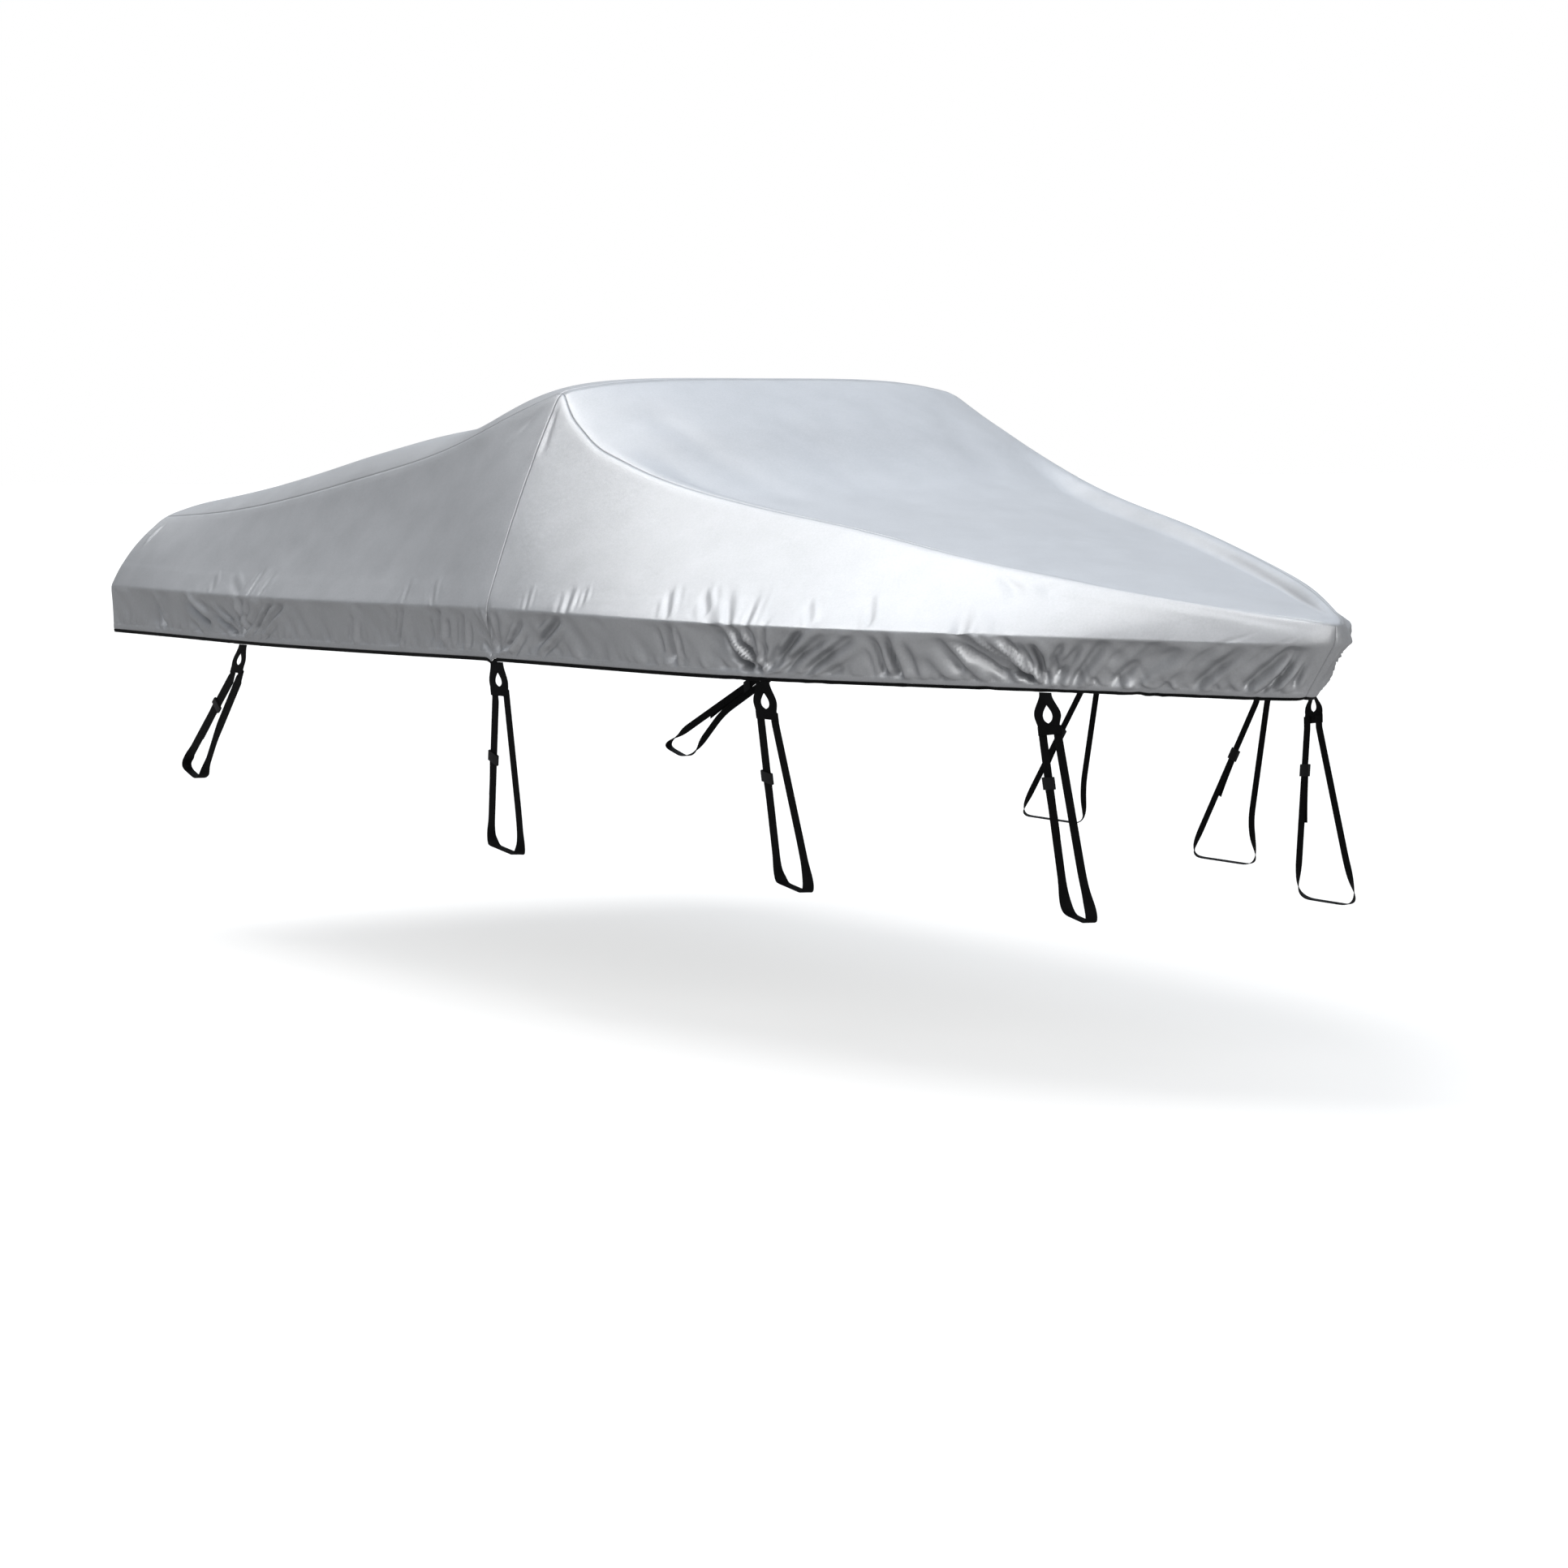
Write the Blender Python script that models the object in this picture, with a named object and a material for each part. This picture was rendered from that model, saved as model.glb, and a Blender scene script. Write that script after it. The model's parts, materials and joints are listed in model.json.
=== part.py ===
"""Fitted cover of silver cloth with a black hem binding and eight hanging strap loops.

The cover is hollow. All sizes are metres. The tables are written with x forward from the
stern, half as the half width and z above the ground, and the origin of the part is the
underside of the cloth at the middle of the peak arch. The starboard side is y negative.
"""
import math

import bmesh
import bpy
import numpy as np
from mathutils import Vector
from mathutils.geometry import tessellate_polygon

CLOTH = 0.002
SEAM_HALF_GAP = 0.00024
HEM_BAND_TALL = 0.018
SKIRT_DEPTH = 0.145
BAND_ABOVE_FOLD = 0.085
PEAK_STATION = 5.0
PEAK_TOP_Z = 1.866
PEAK_CENTRE_X = 2.45
ORIGIN = np.array((PEAK_CENTRE_X, 0.0, PEAK_TOP_Z - CLOTH))

# Stations are counted along the cover: 0 is the stern corner, 5 the side seam, 10 the bow tip.
FOLD_LINE = (
    # station, x, half, z
    (0.0, 0.000, 1.060, 1.134),
    (1.0, 0.560, 1.094, 1.143),
    (2.0, 1.120, 1.119, 1.153),
    (3.0, 1.660, 1.134, 1.167),
    (4.0, 2.200, 1.140, 1.183),
    (5.0, 2.680, 1.132, 1.196),
    (6.0, 3.200, 1.083, 1.201),
    (7.0, 3.720, 0.975, 1.203),
    (8.0, 4.220, 0.785, 1.207),
    (9.0, 4.630, 0.500, 1.2055),
    (9.5, 4.890, 0.270, 1.2025),
    (10.0, 5.165, 0.000, 1.203),
)
HEM_LINE = (
    # station, x, half
    (0.0, 0.000, 1.050),
    (1.0, 0.550, 1.064),
    (2.0, 1.110, 1.089),
    (3.0, 1.650, 1.103),
    (4.0, 2.190, 1.110),
    (5.0, 2.660, 1.102),
    (6.0, 3.180, 1.045),
    (7.0, 3.690, 0.933),
    (8.0, 4.170, 0.720),
    (9.0, 4.590, 0.405),
    (9.5, 4.820, 0.200),
    (10.0, 5.050, 0.000),
)
RIDGE_LINE = (
    # station, x, half, z, crown, power, lead
    (0.0, 0.050, 0.870, 1.368, 0.070, 5.5, 0.00),
    (1.0, 0.550, 0.885, 1.404, 0.110, 5.8, 0.00),
    (2.0, 1.050, 0.885, 1.470, 0.138, 6.0, 0.00),
    (3.0, 1.520, 0.870, 1.553, 0.140, 6.0, 0.01),
    (4.0, 1.980, 0.830, 1.660, 0.116, 5.8, 0.03),
    (4.6, 2.230, 0.775, 1.757, 0.100, 6.2, 0.04),
    (5.0, 2.400, 0.715, 1.830, 0.036, 3.8, 0.05),
    (5.15, 2.500, 0.750, 1.766, 0.068, 3.2, 0.05),
    (5.35, 2.600, 0.770, 1.717, 0.085, 2.5, 0.04),
    (5.55, 2.700, 0.782, 1.673, 0.090, 2.5, 0.03),
    (5.8, 2.810, 0.775, 1.638, 0.085, 2.5, 0.02),
    (6.1, 2.960, 0.757, 1.598, 0.070, 2.4, 0.01),
    (6.5, 3.200, 0.711, 1.550, 0.050, 2.3, 0.00),
    (7.0, 3.500, 0.645, 1.506, 0.035, 2.2, 0.00),
    (7.5, 3.810, 0.574, 1.466, 0.030, 2.2, 0.00),
    (8.0, 4.150, 0.493, 1.412, 0.028, 2.2, 0.00),
    (8.5, 4.450, 0.392, 1.370, 0.024, 2.2, 0.00),
    (9.0, 4.720, 0.282, 1.331, 0.020, 2.2, 0.00),
    (9.5, 5.020, 0.122, 1.285, 0.012, 2.2, 0.00),
    (10.0, 5.165, 0.000, 1.252, 0.000, 2.2, 0.00),
)
SIDE_BULGE = (
    # station, bulge of the side panel between the ridge and the fold line
    (0.0, 0.025),
    (0.5, 0.012),
    (1.0, 0.002),
    (2.0, -0.006),
    (3.0, -0.010),
    (4.0, -0.004),
    (5.0, 0.014),
    (5.5, 0.000),
    (6.0, -0.006),
    (7.0, -0.008),
    (8.0, -0.006),
    (9.0, 0.000),
    (10.0, 0.004),
)
SKIRT_FOLDS = (
    # run and z where it starts, run and z where it ends, width, height
    (1.07, 1.02, 1.00, 1.13, 0.020, -0.006),
    (1.01, 1.02, 0.82, 1.09, 0.020, -0.005),
    (0.79, 1.05, 0.63, 1.12, 0.024, -0.007),
    (0.44, 1.02, 0.36, 1.12, 0.026, -0.006),
    (1.15, 1.03, 1.32, 1.15, 0.022, -0.006),
    (1.13, 1.16, 1.14, 1.24, 0.022, -0.004),
    (2.12, 1.06, 2.18, 1.24, 0.026, -0.006),
    (2.38, 1.08, 2.36, 1.24, 0.022, -0.006),
    (2.77, 1.07, 2.84, 1.17, 0.022, -0.006),
    (2.91, 1.09, 3.07, 1.27, 0.024, -0.007),
    (2.52, 1.07, 2.53, 1.17, 0.024, -0.005),
    (3.82, 1.07, 3.62, 1.27, 0.022, -0.009),
    (3.52, 1.09, 3.48, 1.27, 0.024, -0.006),
    (3.92, 1.08, 4.05, 1.20, 0.024, -0.007),
    (4.01, 1.09, 4.19, 1.20, 0.022, -0.005),
    (4.29, 1.07, 4.24, 1.20, 0.024, -0.008),
    (4.67, 1.08, 4.41, 1.27, 0.022, -0.010),
    (4.54, 1.08, 4.42, 1.21, 0.022, -0.006),
    (4.73, 1.08, 4.86, 1.19, 0.022, -0.006),
    (4.90, 1.08, 5.08, 1.18, 0.024, -0.007),
    (5.13, 1.08, 5.27, 1.18, 0.022, -0.006),
    (5.31, 1.08, 5.44, 1.19, 0.022, -0.006),
    (4.43, 1.38, 4.59, 1.32, 0.030, -0.006),
    (4.58, 1.36, 5.38, 1.26, 0.022, -0.005),
    (2.64, 1.79, 2.53, 1.70, 0.030, -0.005),
    (2.69, 1.78, 2.71, 1.64, 0.026, -0.004),
)
DECK_FOLDS = (
    # x and y where it starts, x and y where it ends, width, height
    (2.62, -0.55, 3.30, -0.42, 0.060, -0.006),
    (2.60, 0.52, 3.20, 0.36, 0.070, -0.006),
    (2.70, -0.15, 3.60, -0.10, 0.090, -0.006),
    (1.20, -0.70, 2.15, -0.62, 0.070, -0.005),
    (0.50, 0.30, 1.60, 0.15, 0.100, -0.006),
)
RIDGE_STATIONS = (
    0.0, 0.12, 0.3, 0.6, 1.0, 1.4, 1.8, 2.2, 2.6, 3.0, 3.4, 3.8, 4.2, 4.5, 4.75, 4.92,
    5.0, 5.06, 5.15, 5.25, 5.35, 5.55, 5.8, 6.1, 6.5, 7.0, 7.5, 8.0, 8.5, 9.0, 9.3,
    9.55, 9.75, 9.9, 10.0,
)
TOP_SHARES = (-1.0, -0.94, -0.84, -0.67, -0.36, 0.0, 0.36, 0.67, 0.84, 0.94, 1.0)
BOW_SHARES = (-1.0, -0.8, -0.4, 0.0, 0.4, 0.8, 1.0)
TIP_SHARES = (-1.0, 0.0, 1.0)
RIM_SHARE = 0.16
RIM_LEAST = 0.055
DECK_SAG = 0.045
STERN_BOW = 0.035

BINDING_TALL = 0.011
BINDING_THICK = 0.005
HANGER_THICK = 0.003
HANGER_GAP = 0.0005
WEB_WIDE = 0.032
WEB_THICK = 0.002
LAP_LONG = 0.020
LAP_GAP = 0.0004
RUN_APART = 0.030
BAR_HALF = 0.049
SLIDE_WIDE = 0.044
SLIDE_TALL = 0.034
SLIDE_THICK = 0.0072
SLIDE_OPEN_WIDE = 0.0345
SLIDE_OPEN_THICK = 0.0054
TAIL_GAP = 0.0003
TAIL_SKEW = 0.007

STRAP_ROWS = (
    # number, x of the tab on the hem, middle of the bar, knee of the fore run,
    # fore corner of the foot, aft corner of the foot, slide share, tail end share,
    # half width of the tab, how far the bar turns from the hem towards straight fore and aft,
    # how far the bar is squared to the plate
    (1, 1.034, (0.963, -1.072, 0.900), (0.655, -0.985, 0.68), (0.485, -0.955, 0.505),
     (0.335, -0.945, 0.545), 0.30, 0.62, 0.028, 0.0, 0.0),
    (2, 2.682, (2.680, -1.085, 0.940), (2.70, -1.030, 0.58), (2.716, -1.030, 0.468),
     (2.440, -0.975, 0.478), 0.40, 0.66, 0.032, 0.0, 1.0),
    (3, 3.793, (3.787, -0.875, 0.942), (3.843, -0.790, 0.575), (3.885, -0.790, 0.460),
     (3.635, -0.730, 0.470), 0.34, 0.60, 0.0225, 0.65, 1.0),
    (4, 4.520, (4.531, -0.456, 0.938), (4.690, -0.454, 0.551), (4.741, -0.454, 0.446),
     (4.541, -0.399, 0.456), 0.25, 0.56, 0.017, 0.83, 1.0),
)
HANGER_OUTLINE = (
    # share of the drop from the hem, share of the way from the tab width to the bar width
    (0.00, 0.000),
    (0.10, 0.000),
    (0.28, 0.35),
    (0.45, 0.78),
    (0.58, 0.96),
    (0.70, 0.88),
    (0.78, 0.80),
    (0.80, 0.84),
    (1.00, 0.84),
)
HANGER_EYE = (
    # share of the drop from the hem, half width; the first row is the pointed top
    (0.30, 0.000),
    (0.37, 0.006),
    (0.46, 0.0135),
    (0.56, 0.018),
    (0.65, 0.016),
    (0.71, 0.009),
    (0.73, 0.000),
)


class Curve:
    """A smooth curve through rows of numbers: a cubic spline with natural ends."""

    def __init__(self, knots, values, level_end=False):
        """Keep the knots and solve for the bend at each of them."""
        self.t = np.array(knots, dtype=float)
        self.v = np.array(values, dtype=float)
        count = len(self.t)
        step = np.diff(self.t)
        matrix = np.zeros((count, count))
        wanted = np.zeros(count)
        matrix[0, 0] = 1.0
        matrix[-1, -1] = 1.0
        for i in range(1, count - 1):
            matrix[i, i - 1] = step[i - 1]
            matrix[i, i] = 2.0 * (step[i - 1] + step[i])
            matrix[i, i + 1] = step[i]
            rise_after = (self.v[i + 1] - self.v[i]) / step[i]
            rise_before = (self.v[i] - self.v[i - 1]) / step[i - 1]
            wanted[i] = 6.0 * (rise_after - rise_before)
        if level_end:
            matrix[-1, -2] = step[-1]
            matrix[-1, -1] = 2.0 * step[-1]
            wanted[-1] = -6.0 * (self.v[-1] - self.v[-2]) / step[-1]
        self.bend = np.linalg.solve(matrix, wanted)

    def __call__(self, t):
        """The value of the curve at one knot number."""
        i = int(np.clip(np.searchsorted(self.t, t) - 1, 0, len(self.t) - 2))
        h = self.t[i + 1] - self.t[i]
        a = (self.t[i + 1] - t) / h
        b = (t - self.t[i]) / h
        curve_a = (a ** 3 - a) * self.bend[i]
        curve_b = (b ** 3 - b) * self.bend[i + 1]
        return a * self.v[i] + b * self.v[i + 1] + (curve_a + curve_b) * h * h / 6.0


class PeakCurve:
    """Two smooth curves that meet at the peak, where the cloth has a sharp fold."""

    def __init__(self, knots, values, level_end=False):
        """Make one curve aft of the peak and one before it."""
        cut = knots.index(PEAK_STATION)
        self.aft = Curve(knots[:cut + 1], values[:cut + 1])
        self.fore = Curve(knots[cut:], values[cut:], level_end)

    def __call__(self, t):
        """The value at one station."""
        return self.aft(t) if t <= PEAK_STATION else self.fore(t)


def columns(table):
    """Turn the rows of a table into its columns."""
    return [list(column) for column in zip(*table)]


def smooth(x):
    """Ease from 0 to 1 as x goes from 0 to 1."""
    x = min(1.0, max(0.0, x))
    return x * x * (3.0 - 2.0 * x)


def unit(v):
    """The vector at length one."""
    return v / np.linalg.norm(v)


def lines_from_tables():
    """Make the spline curves of the fold line, the hem and the ridge."""
    fold = columns(FOLD_LINE)
    hem = columns(HEM_LINE)
    ridge = columns(RIDGE_LINE)
    bulge = columns(SIDE_BULGE)
    return {
        "fold_x": Curve(fold[0], fold[1], level_end=True),
        "fold_half": Curve(fold[0], fold[2]),
        "fold_z": Curve(fold[0], fold[3]),
        "hem_x": Curve(hem[0], hem[1], level_end=True),
        "hem_half": Curve(hem[0], hem[2]),
        "ridge_x": PeakCurve(ridge[0], ridge[1], level_end=True),
        "ridge_half": PeakCurve(ridge[0], ridge[2]),
        "ridge_z": PeakCurve(ridge[0], ridge[3]),
        "crown": PeakCurve(ridge[0], ridge[4]),
        "power": PeakCurve(ridge[0], ridge[5]),
        "lead": PeakCurve(ridge[0], ridge[6]),
        "bulge": Curve(bulge[0], bulge[1]),
    }


LINES = lines_from_tables()


def fold_point(station):
    """A point of the fold line, on the port side."""
    return np.array((LINES["fold_x"](station), LINES["fold_half"](station),
                     LINES["fold_z"](station)))


def hem_point(station):
    """A point of the hem, on the port side."""
    return np.array((LINES["hem_x"](station), LINES["hem_half"](station),
                     LINES["fold_z"](station) - SKIRT_DEPTH))


def ridge_point(station):
    """A point of the ridge seam, on the port side."""
    return np.array((LINES["ridge_x"](station), LINES["ridge_half"](station),
                     LINES["ridge_z"](station)))


def run_lengths():
    """Lengths along the fold line in plan, from the stern, at even stations."""
    stations = np.linspace(0.0, 10.0, 401)
    points = np.array([fold_point(s)[:2] for s in stations])
    pieces = np.linalg.norm(np.diff(points, axis=0), axis=1)
    return stations, np.concatenate(([0.0], np.cumsum(pieces)))


RUN_STATIONS, RUN_LENGTHS = run_lengths()


def run_of(station):
    """Metres along the fold line in plan from the stern to this station."""
    return float(np.interp(station, RUN_STATIONS, RUN_LENGTHS))


def stroke_height(rows, a, b, wide_only):
    """Sum of the soft strokes of a fold table at the place (a, b)."""
    total = 0.0
    for a0, b0, a1, b1, width, height in rows:
        if wide_only and width < 0.02:
            continue
        da = a1 - a0
        db = b1 - b0
        length2 = da * da + db * db
        t = ((a - a0) * da + (b - b0) * db) / length2
        if t < -0.3 or t > 1.3:
            continue
        across2 = (a - a0 - t * da) ** 2 + (b - b0 - t * db) ** 2
        if across2 > 9.0 * width * width:
            continue
        along = smooth((t + 0.15) / 0.3) * smooth((1.15 - t) / 0.45)
        total += height * along * math.exp(-across2 / (width * width))
    return total


def side_shares(station):
    """Shares down the side at a station: 0 ridge, 1 fold line, 2 hem."""
    long = float(np.linalg.norm(fold_point(station) - ridge_point(station)))
    first = min(0.03, 0.25 * long) / long
    band = 1.0 - min(BAND_ABOVE_FOLD, 0.3 * long) / long
    upper = (0.0, first, first + 0.36 * (band - first), first + 0.7 * (band - first))
    lower = (band, 0.5 * (1.0 + band), 1.0, 1.28, 1.58,
             2.0 - HEM_BAND_TALL / SKIRT_DEPTH, 2.0)
    return upper, lower


def side_base(station, share):
    """The unfolded side surface on the port side, and its outward normal."""
    ridge = ridge_point(station)
    fold = fold_point(station)
    step = 0.01
    before = max(0.0, station - step)
    after = min(10.0, station + step)
    along = fold_point(after) - fold_point(before)
    if station > 9.999:
        along = np.array((0.0, -1.0, 0.0))
    if share <= 1.0:
        down = fold - ridge
        point = ridge + share * down
        outward = unit(np.cross(along, down))
        belly = 4.0 * share * (1.0 - share)
        point = point + outward * LINES["bulge"](station) * belly
        return point, outward
    down = hem_point(station) - fold
    outward = unit(np.cross(along, down))
    return fold + (share - 1.0) * down, outward


def side_point(station, share, side):
    """A point of the outer side surface; side is -1 for starboard and 1 for port."""
    point, outward = side_base(station, share)
    free = smooth(share / 0.12)
    if share > 1.0:
        free = 1.0 - 0.75 * smooth((share - 1.7) / 0.3)
    pinch = smooth(float(point[1]) / 0.10) * smooth(station / 0.10)
    folds = stroke_height(SKIRT_FOLDS, run_of(station), float(point[2]), side > 0)
    seam = smooth(abs(station - PEAK_STATION) / 0.02)
    keep = 1.0 if share >= 1.0 else 0.35 + 0.65 * seam
    scale = 1.0 if side < 0 else 0.6
    point = point + outward * folds * free * pinch * keep * scale
    return np.array((point[0], side * point[1], point[2]))


def top_point(station, share):
    """A point of the outer top surface; share is -1 at starboard and 1 at port."""
    ridge = ridge_point(station)
    crown = LINES["crown"](station)
    power = LINES["power"](station)
    lead = LINES["lead"](station)
    wide = abs(share)
    fore = smooth((station - 5.6) / 0.9) * smooth((9.95 - station) / 1.1)
    rim = max(RIM_SHARE, RIM_LEAST / max(ridge[1], 0.02))
    sag = DECK_SAG * fore * smooth((1.0 - wide) / rim)
    x = ridge[0] + lead * (1.0 - share * share)
    y = share * ridge[1]
    z = ridge[2] + crown * (1.0 - wide ** power) - sag
    free = smooth((1.0 - wide) / 0.12) * smooth(station / 0.3)
    free *= smooth(abs(station - PEAK_STATION) / 0.12)
    z += free * stroke_height(DECK_FOLDS, float(x), float(y), False)
    return np.array((x, y, z))


def stern_point(share, down):
    """A point of the outer stern surface; down runs as the side shares do."""
    corner = side_point(0.0, down, 1)
    crown = LINES["crown"](0.0)
    power = LINES["power"](0.0)
    x = corner[0] - STERN_BOW * (1.0 - share * share) * math.sin(0.5 * math.pi * min(down, 1.0))
    z = corner[2] + crown * (1.0 - abs(share) ** power) * max(0.0, 1.0 - down)
    return np.array((x, share * corner[1], z))


def dense_stations(first, last, spacing_near, spacing_far):
    """Stations for the skirt, closer together beside each strap tab."""
    tabs = [row[1] for row in STRAP_ROWS]
    stations = [first]
    while True:
        x = float(LINES["hem_x"](stations[-1]))
        near = min(abs(x + 0.02 - tab) for tab in tabs) < 0.24
        spacing = spacing_near if near else spacing_far
        here = run_of(stations[-1])
        if here + 1.5 * spacing > run_of(last):
            break
        stations.append(float(np.interp(here + spacing, RUN_LENGTHS, RUN_STATIONS)))
    stations.append(last)
    return stations


def place_key(point):
    """A key that the same place has in every panel."""
    return tuple(int(round(c * 1e5)) for c in point)


class Panel:
    """One cut panel of cloth: rows of points laced together with triangles."""

    def __init__(self, name):
        """Start with no points and no faces."""
        self.name = name
        self.points = []
        self.faces = []
        self.index = {}

    def row(self, places):
        """Add a row of (number along the row, point) and give back its indices."""
        numbered = []
        for along, point in places:
            key = place_key(point)
            if key not in self.index:
                self.index[key] = len(self.points)
                self.points.append(np.array(point))
            numbered.append((along, self.index[key]))
        return numbered

    def face(self, a, b, c):
        """Add a triangle unless two of its corners are one."""
        if len({a, b, c}) == 3:
            self.faces.append((a, b, c))

    def lace(self, upper, lower, flip):
        """Join two rows with triangles by walking along both."""
        i = 0
        j = 0
        while i < len(upper) - 1 or j < len(lower) - 1:
            go_upper = j == len(lower) - 1
            if i < len(upper) - 1 and j < len(lower) - 1:
                middle_up = upper[i][0] + upper[i + 1][0]
                middle_low = lower[j][0] + lower[j + 1][0]
                go_upper = middle_up < middle_low
            corners = (upper[i][1], lower[j][1])
            if go_upper:
                corners += (upper[i + 1][1],)
                i += 1
            else:
                corners += (lower[j + 1][1],)
                j += 1
            self.face(*(corners[::-1] if flip else corners))


def build_side(name, side, first, last, near, far):
    """The side panel and its skirt between two stations."""
    panel = Panel(name)
    coarse = [s for s in RIDGE_STATIONS if first <= s <= last]
    dense = dense_stations(first, last, near, far)
    levels = []
    for level in range(4):
        places = [(s, side_point(s, side_shares(s)[0][level], side)) for s in coarse]
        levels.append(panel.row(places))
    for level in range(7):
        places = [(s, side_point(s, side_shares(s)[1][level], side)) for s in dense]
        levels.append(panel.row(places))
    for upper, lower in zip(levels, levels[1:]):
        panel.lace(upper, lower, side > 0)
    panel.hem = [panel.points[i] for along, i in levels[-1]]
    panel.above_hem = [panel.points[i] for along, i in levels[-2]]
    return panel


def top_shares(station):
    """How the top is divided across at a station."""
    if station > 9.95:
        return (0.0,)
    if station > 9.8:
        return TIP_SHARES
    if station > 9.2:
        return BOW_SHARES
    return TOP_SHARES


def build_top(name, first, last):
    """A top panel between two stations."""
    panel = Panel(name)
    rows = []
    for station in [s for s in RIDGE_STATIONS if first <= s <= last]:
        places = [(w, top_point(station, w)) for w in top_shares(station)]
        rows.append(panel.row(places))
    for aft, fore in zip(rows, rows[1:]):
        panel.lace(aft, fore, False)
    return panel


def build_stern():
    """The stern panel and its skirt."""
    panel = Panel("stern_panel")
    upper, lower = side_shares(0.0)
    rows = []
    for down in upper + lower:
        places = [(w, stern_point(w, down)) for w in TOP_SHARES]
        rows.append(panel.row(places))
    for above, below in zip(rows, rows[1:]):
        panel.lace(above, below, True)
    panel.hem = [panel.points[i] for along, i in rows[-1]]
    panel.above_hem = [panel.points[i] for along, i in rows[-2]]
    return panel


def joined_normals(panels):
    """Outward normals shared by every panel that meets at a place."""
    sums = {}
    unit_faces = {}
    for panel in panels:
        for face in panel.faces:
            a, b, c = (panel.points[i] for i in face)
            area = np.cross(b - a, c - a)
            size = np.linalg.norm(area)
            for i in face:
                key = place_key(panel.points[i])
                corner = panel.points[i]
                others = [panel.points[k] for k in face if k != i]
                arm0 = unit(others[0] - corner)
                arm1 = unit(others[1] - corner)
                angle = math.acos(max(-1.0, min(1.0, float(np.dot(arm0, arm1)))))
                sums[key] = sums.get(key, 0.0) + angle * area / size
                unit_faces.setdefault(key, []).append(area / size)
    normals = {}
    for key, total in sums.items():
        if key[1] == 0:
            total = total * np.array((1.0, 0.0, 1.0))
        normal = unit(total)
        lean = min(float(np.dot(normal, face)) for face in unit_faces[key])
        normals[key] = (normal, 1.0 / max(0.72, lean))
    return normals


def border_edges(panel):
    """Edges of the panel that have one face, in the order of that face."""
    seen = {}
    for face in panel.faces:
        for a, b in zip(face, face[1:] + face[:1]):
            seen[(a, b)] = face
    return [(a, b, face) for (a, b), face in seen.items() if (b, a) not in seen]


def pulled_back(panel, borders):
    """Points of the panel with its border moved in by half of the seam gap."""
    inward = {}
    for a, b, face in borders:
        pa, pb, pc = (panel.points[i] for i in (a, b, next(k for k in face if k not in (a, b))))
        edge = unit(pb - pa)
        arm = pc - pa
        into = unit(arm - edge * float(np.dot(arm, edge)))
        inward.setdefault(a, []).append(into)
        inward.setdefault(b, []).append(into)
    points = [np.array(p) for p in panel.points]
    for i, ways in inward.items():
        if len(ways) == 1:
            ways = ways * 2
        both = ways[0] + ways[1]
        spread = max(0.35, 1.0 + float(np.dot(ways[0], ways[1])))
        points[i] = points[i] + SEAM_HALF_GAP * both / spread
    return points


def thick_panel(panel, normals):
    """Corners and faces of the closed sheet of cloth of a panel."""
    borders = border_edges(panel)
    outer = pulled_back(panel, borders)
    inner = []
    for i, point in enumerate(panel.points):
        normal, reach = normals[place_key(point)]
        inner.append(outer[i] - normal * CLOTH * reach)
    count = len(outer)
    faces = list(panel.faces)
    faces += [tuple(i + count for i in reversed(face)) for face in panel.faces]
    for a, b, face in borders:
        faces.append((b, a, a + count))
        faces.append((b, a + count, b + count))
    return outer + inner, faces


def binding_body(hem, above, normals, from_side):
    """A bar along the hem, a hair below the edge of the cloth."""
    sections = []
    last = len(hem) - 1
    for i, point in enumerate(hem):
        along = hem[min(last, i + 1)] - hem[max(0, i - 1)]
        down = unit(point - above[i])
        normal, reach = normals[place_key(point)]
        normal = unit(normal - down * float(np.dot(normal, down)))
        centre = point - normal * 0.5 * CLOTH * reach
        cut = np.cross(down, normal)
        cut = cut if float(np.dot(cut, along)) > 0.0 else -cut
        if i == 0:
            centre = centre + cut * SEAM_HALF_GAP
        if i == last:
            centre = centre - cut * SEAM_HALF_GAP
        half = 0.5 * BINDING_THICK * reach
        top = centre + down * 0.00015
        foot = top + down * BINDING_TALL
        sections.append((top + normal * half, foot + normal * half,
                         foot - normal * half, top - normal * half))
    return bar_body(sections, from_side)


def bar_body(sections, flip):
    """A closed bar through sections of four corners."""
    points = [corner for section in sections for corner in section]
    faces = [(3, 2, 1), (3, 1, 0)]
    for i in range(len(sections) - 1):
        for k in range(4):
            a = 4 * i + k
            b = 4 * i + (k + 1) % 4
            faces.append((a, b, b + 4))
            faces.append((a, b + 4, a + 4))
    end = 4 * (len(sections) - 1)
    faces.append((end, end + 1, end + 2))
    faces.append((end, end + 2, end + 3))
    if flip:
        faces = [tuple(reversed(face)) for face in faces]
    return points, faces


def strap_frame(row):
    """Top of a hanger, hem direction, bar direction, hanging direction and drop."""
    stations = np.linspace(0.0, 9.9, 1981)
    xs = [float(LINES["hem_x"](s)) for s in stations]
    station = float(np.interp(row[1], xs, stations))
    flip = np.array((1.0, -1.0, 1.0))
    along = unit((hem_point(station + 0.05) - hem_point(station - 0.05)) * flip)
    edge = side_point(station, 2.0, -1)
    down = unit((hem_point(station) - fold_point(station)) * flip)
    outward = unit(np.cross(down, along))
    foot = edge - outward * 0.5 * CLOTH + down * (0.00015 + BINDING_TALL)
    lean = abs(float(np.dot(outward, unit(np.array(row[2]) - foot))))
    here = foot + down * (HANGER_GAP + 0.6 * HANGER_THICK * lean)
    straight = np.array((1.0, 0.0, along[2]))
    hang = np.array(row[2]) - here
    drop = float(np.linalg.norm(hang))
    hang = hang / drop
    bar_along = along + row[9] * (straight - along)
    bar_along = unit(bar_along - hang * (row[10] * float(np.dot(bar_along, hang))))
    return here, along, bar_along, hang, drop


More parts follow.
